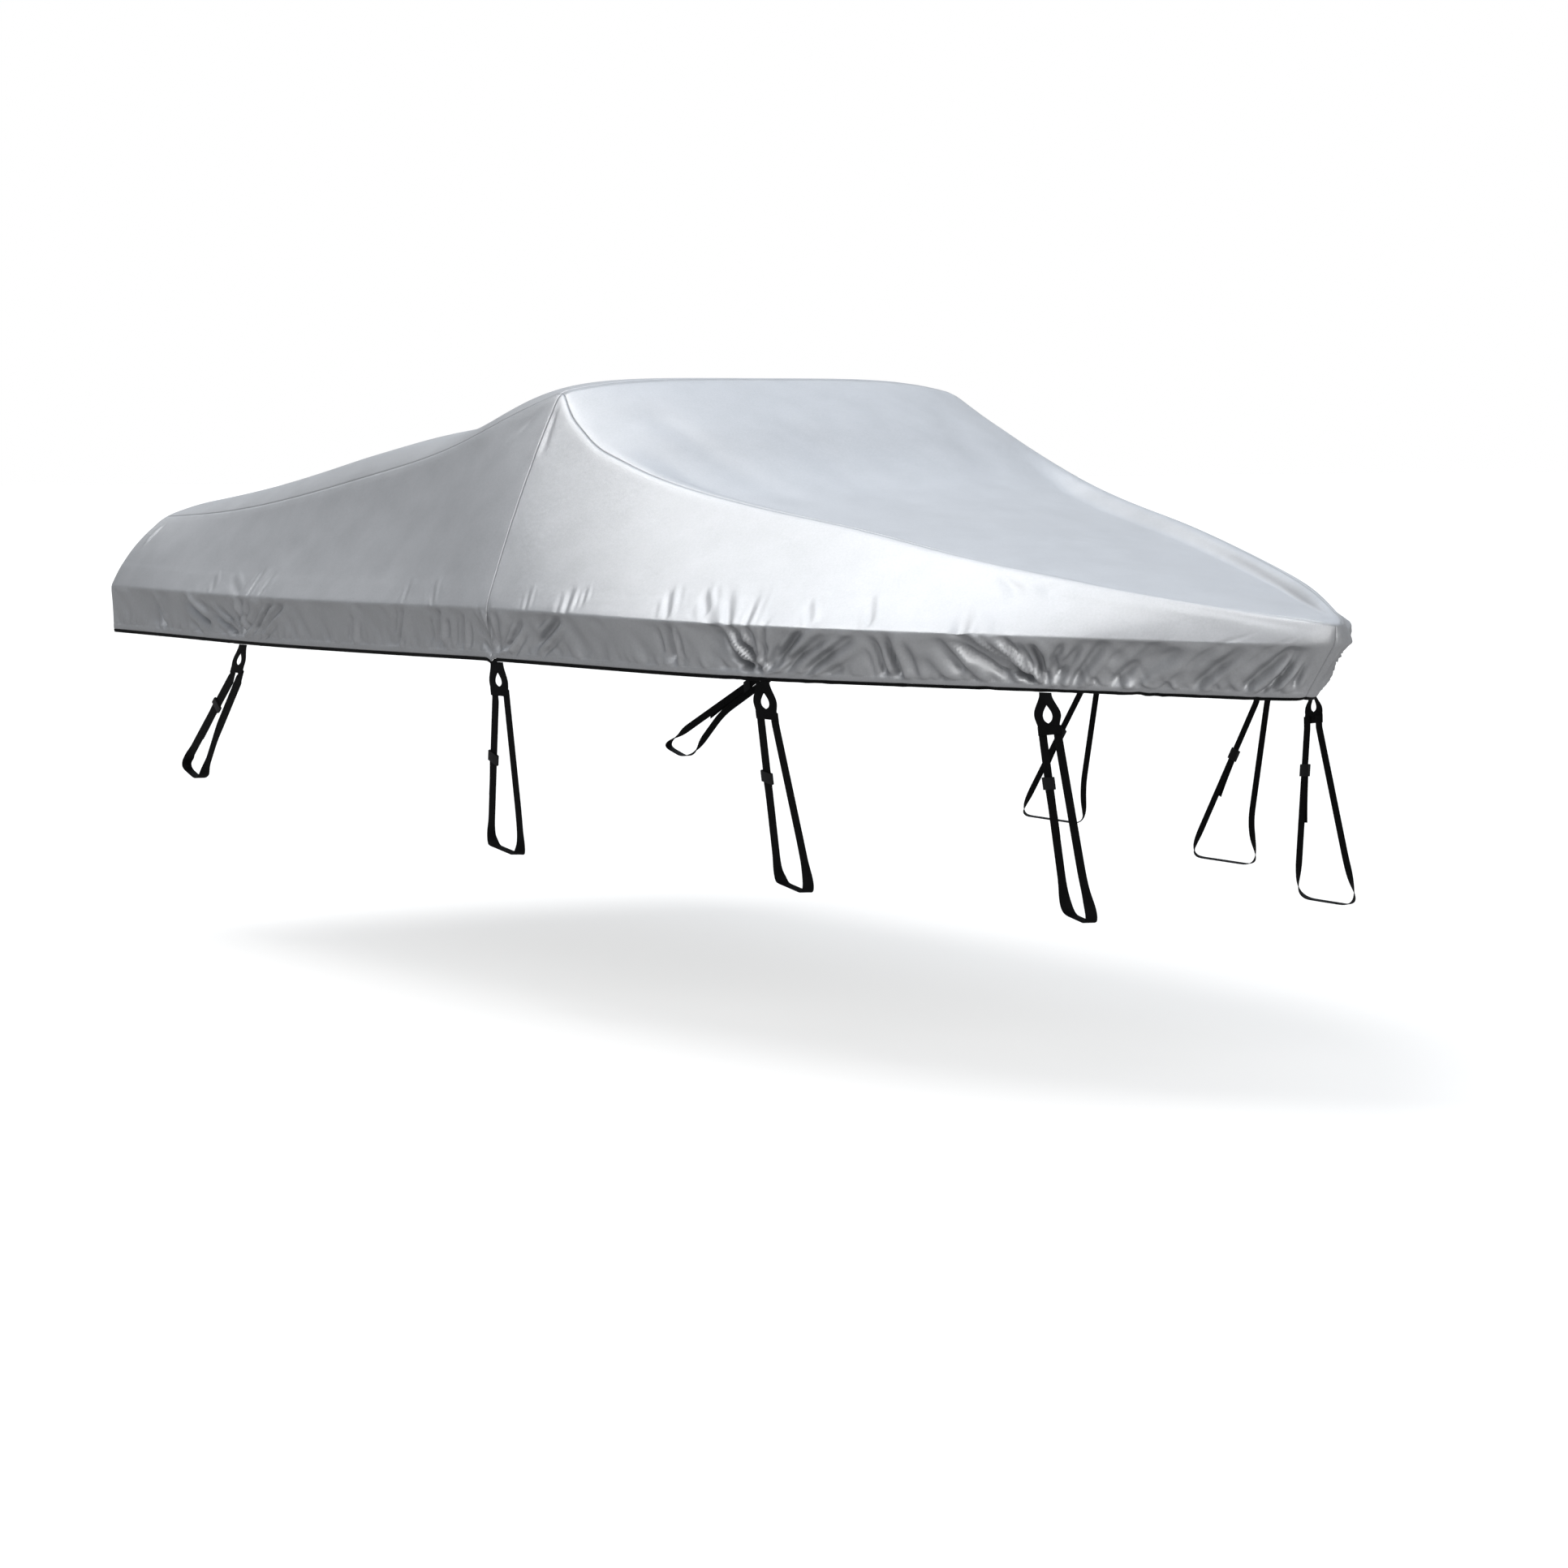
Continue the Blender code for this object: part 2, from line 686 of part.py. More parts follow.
def hanger_body(row):
    """The webbing plate with its eye and its cross bar."""
    here, along, bar_along, hang, drop = strap_frame(row)
    right = [(row[8] + (BAR_HALF - row[8]) * spread, share) for share, spread in HANGER_OUTLINE]
    outline = right + [(-half, share) for half, share in reversed(right)]
    eye_right = [(half, share) for share, half in HANGER_EYE]
    eye = eye_right + [(-half, share) for half, share in reversed(eye_right[1:-1])]
    triangles = tessellate_polygon([[Vector((half, share, 0.0)) for half, share in loop]
                                    for loop in (outline, eye)])
    front = []
    back = []
    for half, share in outline + eye:
        turn = smooth(share / 0.8)
        wide = unit(along + turn * (bar_along - along))
        middle = here + wide * half + hang * (share * drop)
        thick = unit(np.cross(wide, hang)) * 0.5 * HANGER_THICK
        front.append(middle + thick)
        back.append(middle - thick)
    count = len(front)
    faces = []
    for triangle in triangles:
        faces.append(tuple(triangle))
        faces.append(tuple(i + count for i in reversed(triangle)))
    first = 0
    for size in (len(outline), len(eye)):
        for i in range(size):
            a = first + i
            b = first + (i + 1) % size
            faces.append((a, b, b + count))
            faces.append((a, b + count, a + count))
        first += size
    return front + back, faces


def rounded_path(corners, reaches, spacing):
    """Points along a line of corners with each inner corner rounded."""
    points = [np.array(corners[0])]
    for i in range(1, len(corners) - 1):
        corner = np.array(corners[i])
        back = unit(np.array(corners[i - 1]) - corner)
        ahead = unit(np.array(corners[i + 1]) - corner)
        start = corner + back * reaches[i]
        finish = corner + ahead * reaches[i]
        points += straight_between(points[-1], start, spacing)
        turns = max(2, int(math.ceil(reaches[i] / 0.012)))
        for k in range(1, turns + 1):
            t = k / turns
            points.append((1 - t) ** 2 * start + 2 * t * (1 - t) * corner + t * t * finish)
    points += straight_between(points[-1], np.array(corners[-1]), spacing)
    return points


def straight_between(start, finish, spacing):
    """Points after start, up to finish, no further apart than the spacing."""
    count = max(1, int(math.ceil(float(np.linalg.norm(finish - start)) / spacing)))
    return [start + (finish - start) * k / count for k in range(1, count + 1)]


def path_ways(path):
    """The direction of travel at each point of a path."""
    last = len(path) - 1
    return [unit(path[min(last, i + 1)] - path[max(0, i - 1)]) for i in range(last + 1)]


def strap_corners(row):
    """The corners of the strap path, from the fore lap round to the aft lap."""
    here, along, bar_along, hang, drop = strap_frame(row)
    normal = unit(np.cross(bar_along, hang))
    inboard = normal if normal[1] > 0 else -normal
    set_in = inboard * (0.5 * HANGER_THICK + LAP_GAP + 0.5 * WEB_THICK)
    bar = here + hang * drop + set_in
    fore = bar + bar_along * RUN_APART
    aft = bar - bar_along * RUN_APART
    slant = abs(float(np.dot(bar_along, hang)))
    clear = hang * (0.012 + 0.5 * WEB_WIDE * slant / math.sqrt(1.0 - slant * slant))
    knee = np.array(row[3])
    fore_foot = np.array(row[4])
    aft_foot = np.array(row[5])
    return [fore - hang * LAP_LONG, fore + clear, knee, fore_foot, aft_foot,
            aft + clear, aft - hang * LAP_LONG]


def strap_wide_way(row, way, nearness):
    """The width direction of the webbing, turned towards the foot of the loop."""
    along = strap_frame(row)[2]
    foot = np.array(row[4]) - np.array(row[5])
    across = unit(np.array((-foot[1], foot[0], 0.0)))
    across = across if across[1] > 0 else -across
    wide = (1.0 - nearness) * along + nearness * across
    return unit(wide - way * float(np.dot(wide, way)))


def strap_body(row):
    """The webbing loop that hangs from the cross bar."""
    corners = strap_corners(row)
    reaches = [0.0, 0.006, 0.05, 0.055, 0.055, 0.006, 0.0]
    path = rounded_path(corners, reaches, 0.055)
    ways = path_ways(path)
    steps = [float(np.linalg.norm(b - a)) for a, b in zip(path, path[1:])]
    lengths = np.concatenate(([0.0], np.cumsum(steps)))
    middle_point = 0.5 * (np.array(row[4]) + np.array(row[5]))
    nearest = int(np.argmin([np.linalg.norm(p - middle_point) for p in path]))
    half_foot = 0.5 * float(np.linalg.norm(np.array(row[4]) - np.array(row[5])))
    sections = []
    for point, way, length in zip(path, ways, lengths):
        away = abs(float(length - lengths[nearest]))
        nearness = 1.0 - smooth((away - 0.35 * half_foot) / 0.15)
        wide = strap_wide_way(row, way, nearness) * 0.5 * WEB_WIDE
        thick = unit(np.cross(way, wide)) * 0.5 * WEB_THICK
        sections.append((point + wide + thick, point - wide + thick,
                         point - wide - thick, point + wide - thick))
    return bar_body(sections, False)


def aft_run_frame(row, share):
    """Centre, travel, width and outward directions on the aft run."""
    corners = strap_corners(row)
    top = corners[5]
    foot = corners[4]
    way = unit(foot - top)
    along = strap_frame(row)[2]
    wide = unit(along - way * float(np.dot(along, way)))
    out = unit(np.cross(way, wide))
    out = -out if out[1] > 0 else out
    return top + (foot - top) * share, way, wide, out


def slide_body(row):
    """The flat slide round the aft run and its doubled tail."""
    centre, way, wide, out = aft_run_frame(row, row[6])
    centre = centre + out * 0.5 * (WEB_THICK + TAIL_GAP)
    points = []
    for half_wide, half_thick in ((0.5 * SLIDE_WIDE, 0.5 * SLIDE_THICK),
                                  (0.5 * SLIDE_OPEN_WIDE, 0.5 * SLIDE_OPEN_THICK)):
        for end in (-0.5, 0.5):
            for a, b in ((1, 1), (-1, 1), (-1, -1), (1, -1)):
                points.append(centre + way * SLIDE_TALL * end
                              + wide * half_wide * a + out * half_thick * b)
    faces = []
    for k in range(4):
        n = (k + 1) % 4
        faces += [(k, n, n + 4), (k, n + 4, k + 4)]
        faces += [(8 + n, 8 + k, 12 + k), (8 + n, 12 + k, 12 + n)]
        faces += [(n, k, 8 + k), (n, 8 + k, 8 + n)]
        faces += [(4 + k, 4 + n, 12 + n), (4 + k, 12 + n, 12 + k)]
    return points, faces


def tail_body(row):
    """The doubled end of webbing that lies on the aft run below the slide."""
    sections = []
    for t in (0.0, 0.12, 0.4, 0.7, 1.0):
        share = row[6] - 0.035 + (row[7] - row[6] + 0.035) * t
        centre, way, wide, out = aft_run_frame(row, share)
        lift = (WEB_THICK + TAIL_GAP) + 0.006 * max(0.0, t - 0.3) ** 2
        centre = centre + out * lift + wide * TAIL_SKEW * max(0.0, t - 0.12)
        half = wide * 0.5 * WEB_WIDE
        thick = out * 0.5 * WEB_THICK
        sections.append((centre + half + thick, centre - half + thick,
                         centre - half - thick, centre + half - thick))
    return bar_body(sections, False)


def mirrored(body):
    """The body on the port side."""
    points, faces = body
    flip = np.array((1.0, -1.0, 1.0))
    return [p * flip for p in points], [tuple(reversed(f)) for f in faces]


def plain_material(name, colour, roughness, metallic):
    """A plain Principled material."""
    material = bpy.data.materials.new(name)
    material.use_nodes = True
    shader = material.node_tree.nodes["Principled BSDF"]
    shader.inputs["Base Color"].default_value = (colour[0], colour[1], colour[2], 1.0)
    shader.inputs["Roughness"].default_value = roughness
    shader.inputs["Metallic"].default_value = metallic
    material.diffuse_color = (colour[0], colour[1], colour[2], 1.0)
    return material


def add_object(name, body, colour, roughness, metallic):
    """Add one closed body as an object with its own material."""
    points, faces = body
    mesh = bpy.data.meshes.new(name)
    mesh.from_pydata([tuple(float(c) for c in p - ORIGIN) for p in points], [], faces)
    edit = bmesh.new()
    edit.from_mesh(mesh)
    bmesh.ops.recalc_face_normals(edit, faces=edit.faces[:])
    if edit.calc_volume(signed=True) < 0.0:
        bmesh.ops.reverse_faces(edit, faces=edit.faces[:])
    edit.to_mesh(mesh)
    edit.free()
    mesh.update()
    mesh.materials.append(plain_material(name + "_finish", colour, roughness, metallic))
    item = bpy.data.objects.new(name, mesh)
    bpy.context.scene.collection.objects.link(item)
    return item


CLOTH_LOOK = ((0.42, 0.43, 0.45), 0.5, 0.3)
WEB_LOOK = ((0.012, 0.012, 0.013), 0.75, 0.0)


def add_cloth():
    """Add the panels and the hem binding."""
    near, far = 0.032, 0.062
    sides = {
        "side_fore_stbd": build_side("side_fore_stbd", -1, 5.0, 10.0, near, far),
        "side_aft_stbd": build_side("side_aft_stbd", -1, 0.0, 5.0, near, far),
        "side_fore_port": build_side("side_fore_port", 1, 5.0, 10.0, 0.055, 0.11),
        "side_aft_port": build_side("side_aft_port", 1, 0.0, 5.0, 0.07, 0.13),
    }
    stern = build_stern()
    tops = [build_top("top_fore", 5.0, 10.0), build_top("top_aft", 0.0, 5.0)]
    panels = list(sides.values()) + [stern] + tops
    normals = joined_normals(panels)
    for panel in panels:
        add_object(panel.name, thick_panel(panel, normals), *CLOTH_LOOK)
    for side in ("stbd", "port"):
        aft = sides["side_aft_" + side]
        fore = sides["side_fore_" + side]
        hem = aft.hem + fore.hem[1:]
        above = aft.above_hem + fore.above_hem[1:]
        body = binding_body(hem, above, normals, False)
        add_object("binding_" + side, body, *WEB_LOOK)
    body = binding_body(stern.hem, stern.above_hem, normals, False)
    add_object("binding_stern", body, *WEB_LOOK)


def add_straps():
    """Add four strap sets on each side."""
    for row in STRAP_ROWS:
        number = str(row[0])
        bodies = (("hanger", hanger_body(row)), ("strap", strap_body(row)),
                  ("slide", slide_body(row)), ("tail", tail_body(row)))
        for kind, body in bodies:
            add_object(kind + "_stbd_" + number, body, *WEB_LOOK)
            add_object(kind + "_port_" + number, mirrored(body), *WEB_LOOK)


def main():
    """Clear the scene and build the cover."""
    for item in list(bpy.data.objects):
        bpy.data.objects.remove(item, do_unlink=True)
    add_cloth()
    add_straps()


if __name__ == "__main__":
    main()
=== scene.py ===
"""Looks of the fitted boat cover: silver cloth panels, black hem binding and hanging webbing.

Sizes are metres. The tables are written with x forward from the stern, half as the half
width and z above the ground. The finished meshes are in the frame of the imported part,
whose origin is the underside of the cloth at the middle of the peak arch.
"""
import json
import math

import bmesh
import bpy
import numpy as np
from mathutils import Matrix, Vector
from mathutils.geometry import tessellate_polygon

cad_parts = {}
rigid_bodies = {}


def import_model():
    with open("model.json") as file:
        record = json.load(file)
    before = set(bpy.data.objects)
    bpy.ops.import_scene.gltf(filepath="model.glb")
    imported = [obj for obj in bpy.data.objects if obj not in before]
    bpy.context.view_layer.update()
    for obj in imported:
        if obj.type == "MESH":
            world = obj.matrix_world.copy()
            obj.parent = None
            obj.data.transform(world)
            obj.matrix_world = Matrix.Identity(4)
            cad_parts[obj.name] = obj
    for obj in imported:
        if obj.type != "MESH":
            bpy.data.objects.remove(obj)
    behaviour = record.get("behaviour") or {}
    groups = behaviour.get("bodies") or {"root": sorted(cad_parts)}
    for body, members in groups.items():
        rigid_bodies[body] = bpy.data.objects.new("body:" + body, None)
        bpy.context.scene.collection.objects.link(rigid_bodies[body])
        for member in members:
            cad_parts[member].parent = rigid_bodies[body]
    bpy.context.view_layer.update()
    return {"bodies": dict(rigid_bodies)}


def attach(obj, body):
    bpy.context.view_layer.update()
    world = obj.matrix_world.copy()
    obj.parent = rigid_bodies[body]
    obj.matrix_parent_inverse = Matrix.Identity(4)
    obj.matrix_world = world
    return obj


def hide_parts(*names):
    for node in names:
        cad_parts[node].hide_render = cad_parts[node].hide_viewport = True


bl_info = {
    "name": "Boat Cover Looks",
    "version": (1, 0, 0),
    "blender": (4, 5, 0),
    "location": "3D View > Sidebar > Boat Cover",
    "description": "Builds the cloth, hem and webbing of a fitted boat cover",
    "category": "Object",
}

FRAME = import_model()
BODY = sorted(FRAME["bodies"])[0]

# ---------------------------------------------------------------- pattern of the cover

CLOTH_SOLID = 0.002
SKIRT_DEPTH = 0.145
BAND_ABOVE_FOLD = 0.085
PEAK_STATION = 5.0
ORIGIN = np.array((2.45, 0.0, 1.864))
RIDGE_ROLL = 0.034
FOLD_ROLL = 0.008
PEAK_ROLL_AFT = 0.075
PEAK_ROLL_FORE = 0.050
CORNER_ROLL = 0.030
CORNER_PLACES = np.array((0.0, 0.004, 0.008, 0.014, 0.020, CORNER_ROLL))
HEM_BAND = 0.018
BAND_THICK = 0.0006
LAST_STATION = 10.0
SIDES = ((-1, "stbd"), (1, "port"))
SIDE_CHANCE = {-1: (11, 1.0), 1: (47, 0.7)}  # seed and strength of the folds of each side
SIDE_SPACING = {-1: 0.0068, 1: 0.0100}
TOP_SPACING = 0.0150
TOP_ACROSS = 110
STERN_ACROSS = 210

# Stations are counted along the cover: 0 is the stern corner, 5 the side seam, 10 the bow tip.
FOLD_LINE = (
    # station, x, half, z
    (0.0, 0.000, 1.060, 1.134),
    (1.0, 0.560, 1.094, 1.143),
    (2.0, 1.120, 1.119, 1.153),
    (3.0, 1.660, 1.134, 1.167),
    (4.0, 2.200, 1.140, 1.183),
    (5.0, 2.680, 1.132, 1.196),
    (6.0, 3.200, 1.083, 1.201),
    (7.0, 3.720, 0.975, 1.203),
    (8.0, 4.220, 0.785, 1.207),
    (9.0, 4.630, 0.500, 1.2055),
    (9.5, 4.890, 0.270, 1.2025),
    (10.0, 5.165, 0.000, 1.203),
)
HEM_LINE = (
    # station, x, half
    (0.0, 0.000, 1.050),
    (1.0, 0.550, 1.064),
    (2.0, 1.110, 1.089),
    (3.0, 1.650, 1.103),
    (4.0, 2.190, 1.110),
    (5.0, 2.660, 1.102),
    (6.0, 3.180, 1.045),
    (7.0, 3.690, 0.933),
    (8.0, 4.170, 0.720),
    (9.0, 4.590, 0.405),
    (9.5, 4.820, 0.200),
    (10.0, 5.050, 0.000),
)
RIDGE_LINE = (
    # station, x, half, z, crown, power, lead
    (0.0, 0.050, 0.870, 1.368, 0.070, 5.5, 0.00),
    (1.0, 0.550, 0.885, 1.404, 0.110, 5.8, 0.00),
    (2.0, 1.050, 0.885, 1.470, 0.138, 6.0, 0.00),
    (3.0, 1.520, 0.870, 1.553, 0.140, 6.0, 0.01),
    (4.0, 1.980, 0.830, 1.660, 0.116, 5.8, 0.03),
    (4.6, 2.230, 0.775, 1.757, 0.100, 6.2, 0.04),
    (5.0, 2.400, 0.715, 1.830, 0.036, 3.8, 0.05),
    (5.15, 2.500, 0.750, 1.766, 0.068, 3.2, 0.05),
    (5.35, 2.600, 0.770, 1.717, 0.085, 2.5, 0.04),
    (5.55, 2.700, 0.782, 1.673, 0.090, 2.5, 0.03),
    (5.8, 2.810, 0.775, 1.638, 0.085, 2.5, 0.02),
    (6.1, 2.960, 0.757, 1.598, 0.070, 2.4, 0.01),
    (6.5, 3.200, 0.711, 1.550, 0.050, 2.3, 0.00),
    (7.0, 3.500, 0.645, 1.506, 0.035, 2.2, 0.00),
    (7.5, 3.810, 0.574, 1.466, 0.030, 2.2, 0.00),
    (8.0, 4.150, 0.493, 1.412, 0.028, 2.2, 0.00),
    (8.5, 4.450, 0.392, 1.370, 0.024, 2.2, 0.00),
    (9.0, 4.720, 0.282, 1.331, 0.020, 2.2, 0.00),
    (9.5, 5.020, 0.122, 1.285, 0.012, 2.2, 0.00),
    (10.0, 5.165, 0.000, 1.252, 0.000, 2.2, 0.00),
)
SIDE_BULGE = (
    # station, bulge of the side panel between the ridge and the fold line
    (0.0, 0.025),
    (0.5, 0.012),
    (1.0, 0.002),
    (2.0, -0.006),
    (3.0, -0.010),
    (4.0, -0.004),
    (5.0, 0.014),
    (5.5, 0.000),
    (6.0, -0.006),
    (7.0, -0.008),
    (8.0, -0.006),
    (9.0, 0.000),
    (10.0, 0.004),
)
RIM_SHARE = 0.16
RIM_LEAST = 0.055
DECK_SAG = 0.045
STERN_BOW = 0.035

# Folds of the side panels, listed one by one. run is measured along the fold line from the stern.
FOLDS_BY_TABS = (
    # run and z where it starts, run and z where it ends, width, height
    (1.07, 1.03, 1.00, 1.13, 0.014, -0.006),
    (1.01, 1.02, 0.82, 1.09, 0.012, -0.005),
    (0.79, 1.05, 0.63, 1.12, 0.016, -0.008),
    (0.44, 1.02, 0.36, 1.12, 0.016, -0.006),
    (1.14, 1.04, 1.30, 1.15, 0.014, -0.006),
    (1.18, 1.04, 1.39, 1.15, 0.012, -0.005),
    (1.13, 1.16, 1.14, 1.24, 0.014, -0.005),
    (1.06, 1.16, 0.94, 1.20, 0.012, -0.004),
    (1.21, 1.16, 1.23, 1.23, 0.012, -0.004),
    (0.85, 1.16, 0.79, 1.20, 0.012, -0.004),
    (2.12, 1.06, 2.18, 1.18, 0.016, -0.006),
    (2.19, 1.19, 2.18, 1.25, 0.014, -0.004),
    (2.37, 1.19, 2.34, 1.25, 0.012, -0.006),
    (2.39, 1.08, 2.39, 1.18, 0.016, -0.006),
    (1.83, 1.05, 1.84, 1.13, 0.014, -0.004),
    (2.77, 1.08, 2.84, 1.17, 0.014, -0.006),
    (2.91, 1.10, 3.04, 1.19, 0.016, -0.007),
    (3.07, 1.20, 3.07, 1.27, 0.014, -0.006),
    (3.14, 1.23, 3.13, 1.27, 0.010, -0.004),
    (2.88, 1.20, 2.87, 1.26, 0.010, -0.004),
    (2.52, 1.07, 2.53, 1.17, 0.014, -0.005),
    (3.81, 1.07, 3.65, 1.23, 0.014, -0.008),
    (3.65, 1.23, 3.60, 1.28, 0.012, -0.006),
    (3.85, 1.07, 3.69, 1.28, 0.012, -0.008),
    (3.80, 1.07, 3.65, 1.19, 0.022, -0.006),
    (3.52, 1.09, 3.50, 1.19, 0.016, -0.006),
    (3.51, 1.21, 3.47, 1.28, 0.012, -0.005),
    (3.84, 1.07, 3.79, 1.28, 0.012, -0.006),
    (3.90, 1.10, 4.00, 1.20, 0.014, -0.006),
    (3.94, 1.09, 4.09, 1.20, 0.016, -0.006),
    (4.01, 1.09, 4.19, 1.20, 0.016, -0.006),
    (4.30, 1.07, 4.26, 1.20, 0.016, -0.008),
    (4.25, 1.08, 4.22, 1.19, 0.014, -0.006),
    (4.02, 1.22, 3.97, 1.27, 0.010, -0.004),
    (4.21, 1.22, 4.14, 1.29, 0.010, -0.004),
    (4.66, 1.08, 4.41, 1.27, 0.014, -0.009),
    (4.68, 1.08, 4.58, 1.21, 0.012, 0.005),
    (4.60, 1.08, 4.47, 1.21, 0.020, -0.006),
    (4.48, 1.10, 4.41, 1.20, 0.020, -0.006),
    (4.69, 1.08, 4.69, 1.19, 0.012, -0.006),
    (4.72, 1.08, 4.82, 1.18, 0.014, -0.006),
    (4.76, 1.08, 4.90, 1.20, 0.014, -0.006),
    (4.88, 1.08, 5.05, 1.18, 0.016, -0.007),
    (4.95, 1.09, 5.10, 1.18, 0.016, -0.007),
    (5.13, 1.08, 5.27, 1.18, 0.016, -0.006),
    (5.29, 1.08, 5.43, 1.20, 0.016, -0.007),
    (5.38, 1.09, 5.45, 1.19, 0.014, -0.006),
    (5.45, 1.09, 5.47, 1.18, 0.014, -0.006),
    (5.49, 1.08, 5.49, 1.16, 0.014, -0.006),
)
FOLDS_BY_RIDGE = (
    # run and z where it starts, run and z where it ends, width, height
    (4.43, 1.38, 4.59, 1.32, 0.012, -0.006),
    (4.41, 1.36, 4.51, 1.31, 0.012, -0.004),
    (4.47, 1.37, 5.48, 1.25, 0.016, -0.005),
    (2.65, 1.80, 2.55, 1.71, 0.012, -0.004),
    (2.63, 1.78, 2.49, 1.68, 0.014, -0.004),
    (2.69, 1.78, 2.71, 1.64, 0.012, -0.004),
    (0.00, 1.28, 0.00, 1.35, 0.012, -0.005),
    (0.08, 1.28, 0.08, 1.35, 0.010, 0.004),
)
DECK_FOLDS = (
    # x and y where it starts, x and y where it ends, width, height
    (2.62, -0.55, 3.30, -0.42, 0.060, -0.005),
    (2.60, 0.52, 3.20, 0.36, 0.070, -0.005),
    (2.70, -0.15, 3.60, -0.10, 0.090, -0.005),
    (1.20, -0.70, 2.15, -0.62, 0.070, -0.005),
    (0.50, 0.30, 1.60, 0.15, 0.100, -0.006),
)
# Turns of the short folds that fan out above each strap, and their height.
FAN_TURNS = (-1.15, -0.95, -0.72, -0.45, -0.2, 0.12, 0.38, 0.66, 0.9, 1.12)
FAN_HEIGHT = -0.0035

WEB_WIDE = 0.032
WEB_THICK = 0.002
HANGER_THICK = 0.003
BINDING_TALL = 0.011
BINDING_THICK = 0.005
BINDING_GAP = 0.00015
BINDING_END_GAP = 0.0003
HANGER_GAP = 0.0005
LAP_LONG = 0.020
LAP_GAP = 0.0004
RUN_APART = 0.030
BAR_HALF = 0.049
TAIL_GAP = 0.0003
TAIL_SKEW = 0.007
STRAP_BENDS = (0.006, 0.05, 0.055, 0.055, 0.006)
SLIDE_SIZE = (0.044, 0.0072, 0.034)
SLIDE_WALL = 0.0009
SLIDE_NARROWED = 0.8174
STITCH_PITCH = 0.0068
STITCH_LONG = 0.0048
STITCH_WIDE = 0.0011
STITCH_PROUD = 0.0005

# Rows of a grid with a hem, counted from the hem: its stitches, and one within the hem band.
HEM_STITCH_ROW = -7
BAND_ROW = -4

STRAP_ROWS = (
    # number, x of the tab on the hem, middle of the bar, knee of the fore run,
    # fore corner of the foot, aft corner of the foot, slide share, tail end share,
    # half width of the tab, how far the bar turns from the hem towards straight fore and aft,
    # how far the bar is squared to the plate
    (1, 1.034, (0.963, -1.072, 0.900), (0.655, -0.985, 0.68), (0.485, -0.955, 0.505),
     (0.335, -0.945, 0.545), 0.30, 0.62, 0.028, 0.0, 0.0),
    (2, 2.682, (2.680, -1.085, 0.940), (2.70, -1.030, 0.58), (2.716, -1.030, 0.468),
     (2.440, -0.975, 0.478), 0.40, 0.66, 0.032, 0.0, 1.0),
    (3, 3.793, (3.787, -0.875, 0.942), (3.843, -0.790, 0.575), (3.885, -0.790, 0.460),
     (3.635, -0.730, 0.470), 0.34, 0.60, 0.0225, 0.65, 1.0),
    (4, 4.520, (4.531, -0.456, 0.938), (4.690, -0.454, 0.551), (4.741, -0.454, 0.446),
     (4.541, -0.399, 0.456), 0.25, 0.56, 0.017, 0.83, 1.0),
)
HANGER_OUTLINE = (
    # share of the drop from the hem, share of the way from the tab width to the bar width
    (0.00, 0.000),
    (0.10, 0.000),
    (0.28, 0.35),
    (0.45, 0.78),
    (0.58, 0.96),
    (0.70, 0.88),
    (0.78, 0.80),
    (0.80, 0.84),
    (1.00, 0.84),
)
CURVED_ROWS = 7  # the first rows of the outline, down to the notch above the bar, form a curve
HANGER_EYE = (
    # share of the drop from the hem, half width; the first row is the pointed top
    (0.30, 0.000),
    (0.37, 0.006),
    (0.46, 0.0135),
    (0.56, 0.018),
    (0.65, 0.016),
    (0.71, 0.009),
    (0.73, 0.000),
)


# ---------------------------------------------------------------- curves and surfaces

class Curve:
    """A smooth curve through rows of numbers: a cubic spline with natural ends."""

    def __init__(self, knots, values, level_end=False):
        """Keep the knots and solve for the bend at each of them."""
        self.t = np.array(knots, dtype=float)
        self.v = np.array(values, dtype=float)
        step = np.diff(self.t)
        rise = np.diff(self.v) / step
        matrix = np.eye(len(self.t))
        wanted = np.zeros(len(self.t))
        for i in range(1, len(step)):
            matrix[i, i - 1:i + 2] = (step[i - 1], 2.0 * (step[i - 1] + step[i]), step[i])
            wanted[i] = 6.0 * (rise[i] - rise[i - 1])
        if level_end:
            matrix[-1, -2:] = (step[-1], 2.0 * step[-1])
            wanted[-1] = -6.0 * rise[-1]
        self.bend = np.linalg.solve(matrix, wanted)

    def __call__(self, t):
        """The values of the curve at an array of knot numbers."""
        t = np.asarray(t, dtype=float)
        i = np.clip(np.searchsorted(self.t, t) - 1, 0, len(self.t) - 2)
        h = self.t[i + 1] - self.t[i]
        a = (self.t[i + 1] - t) / h
        b = (t - self.t[i]) / h
        bent = (a ** 3 - a) * self.bend[i] + (b ** 3 - b) * self.bend[i + 1]
        return a * self.v[i] + b * self.v[i + 1] + bent * h * h / 6.0


class PeakCurve:
    """Two smooth curves that meet at the peak, where the cloth has a sharp fold."""

    def __init__(self, knots, values, level_end=False):
        """Make one curve aft of the peak and one before it."""
        cut = knots.index(PEAK_STATION)
        self.aft = Curve(knots[:cut + 1], values[:cut + 1])
        self.fore = Curve(knots[cut:], values[cut:], level_end)

    def __call__(self, t):
        """The values at an array of stations."""
        t = np.asarray(t, dtype=float)
        aft = self.aft(np.minimum(t, PEAK_STATION))
        return np.where(t <= PEAK_STATION, aft, self.fore(np.maximum(t, PEAK_STATION)))


def curves_of(table, kind, *names):
    """A curve for each named column of a table; those of x end level."""
    knots, *values = zip(*table)
    return {name: kind(knots, column, name.endswith("_x")) for name, column in zip(names, values)}


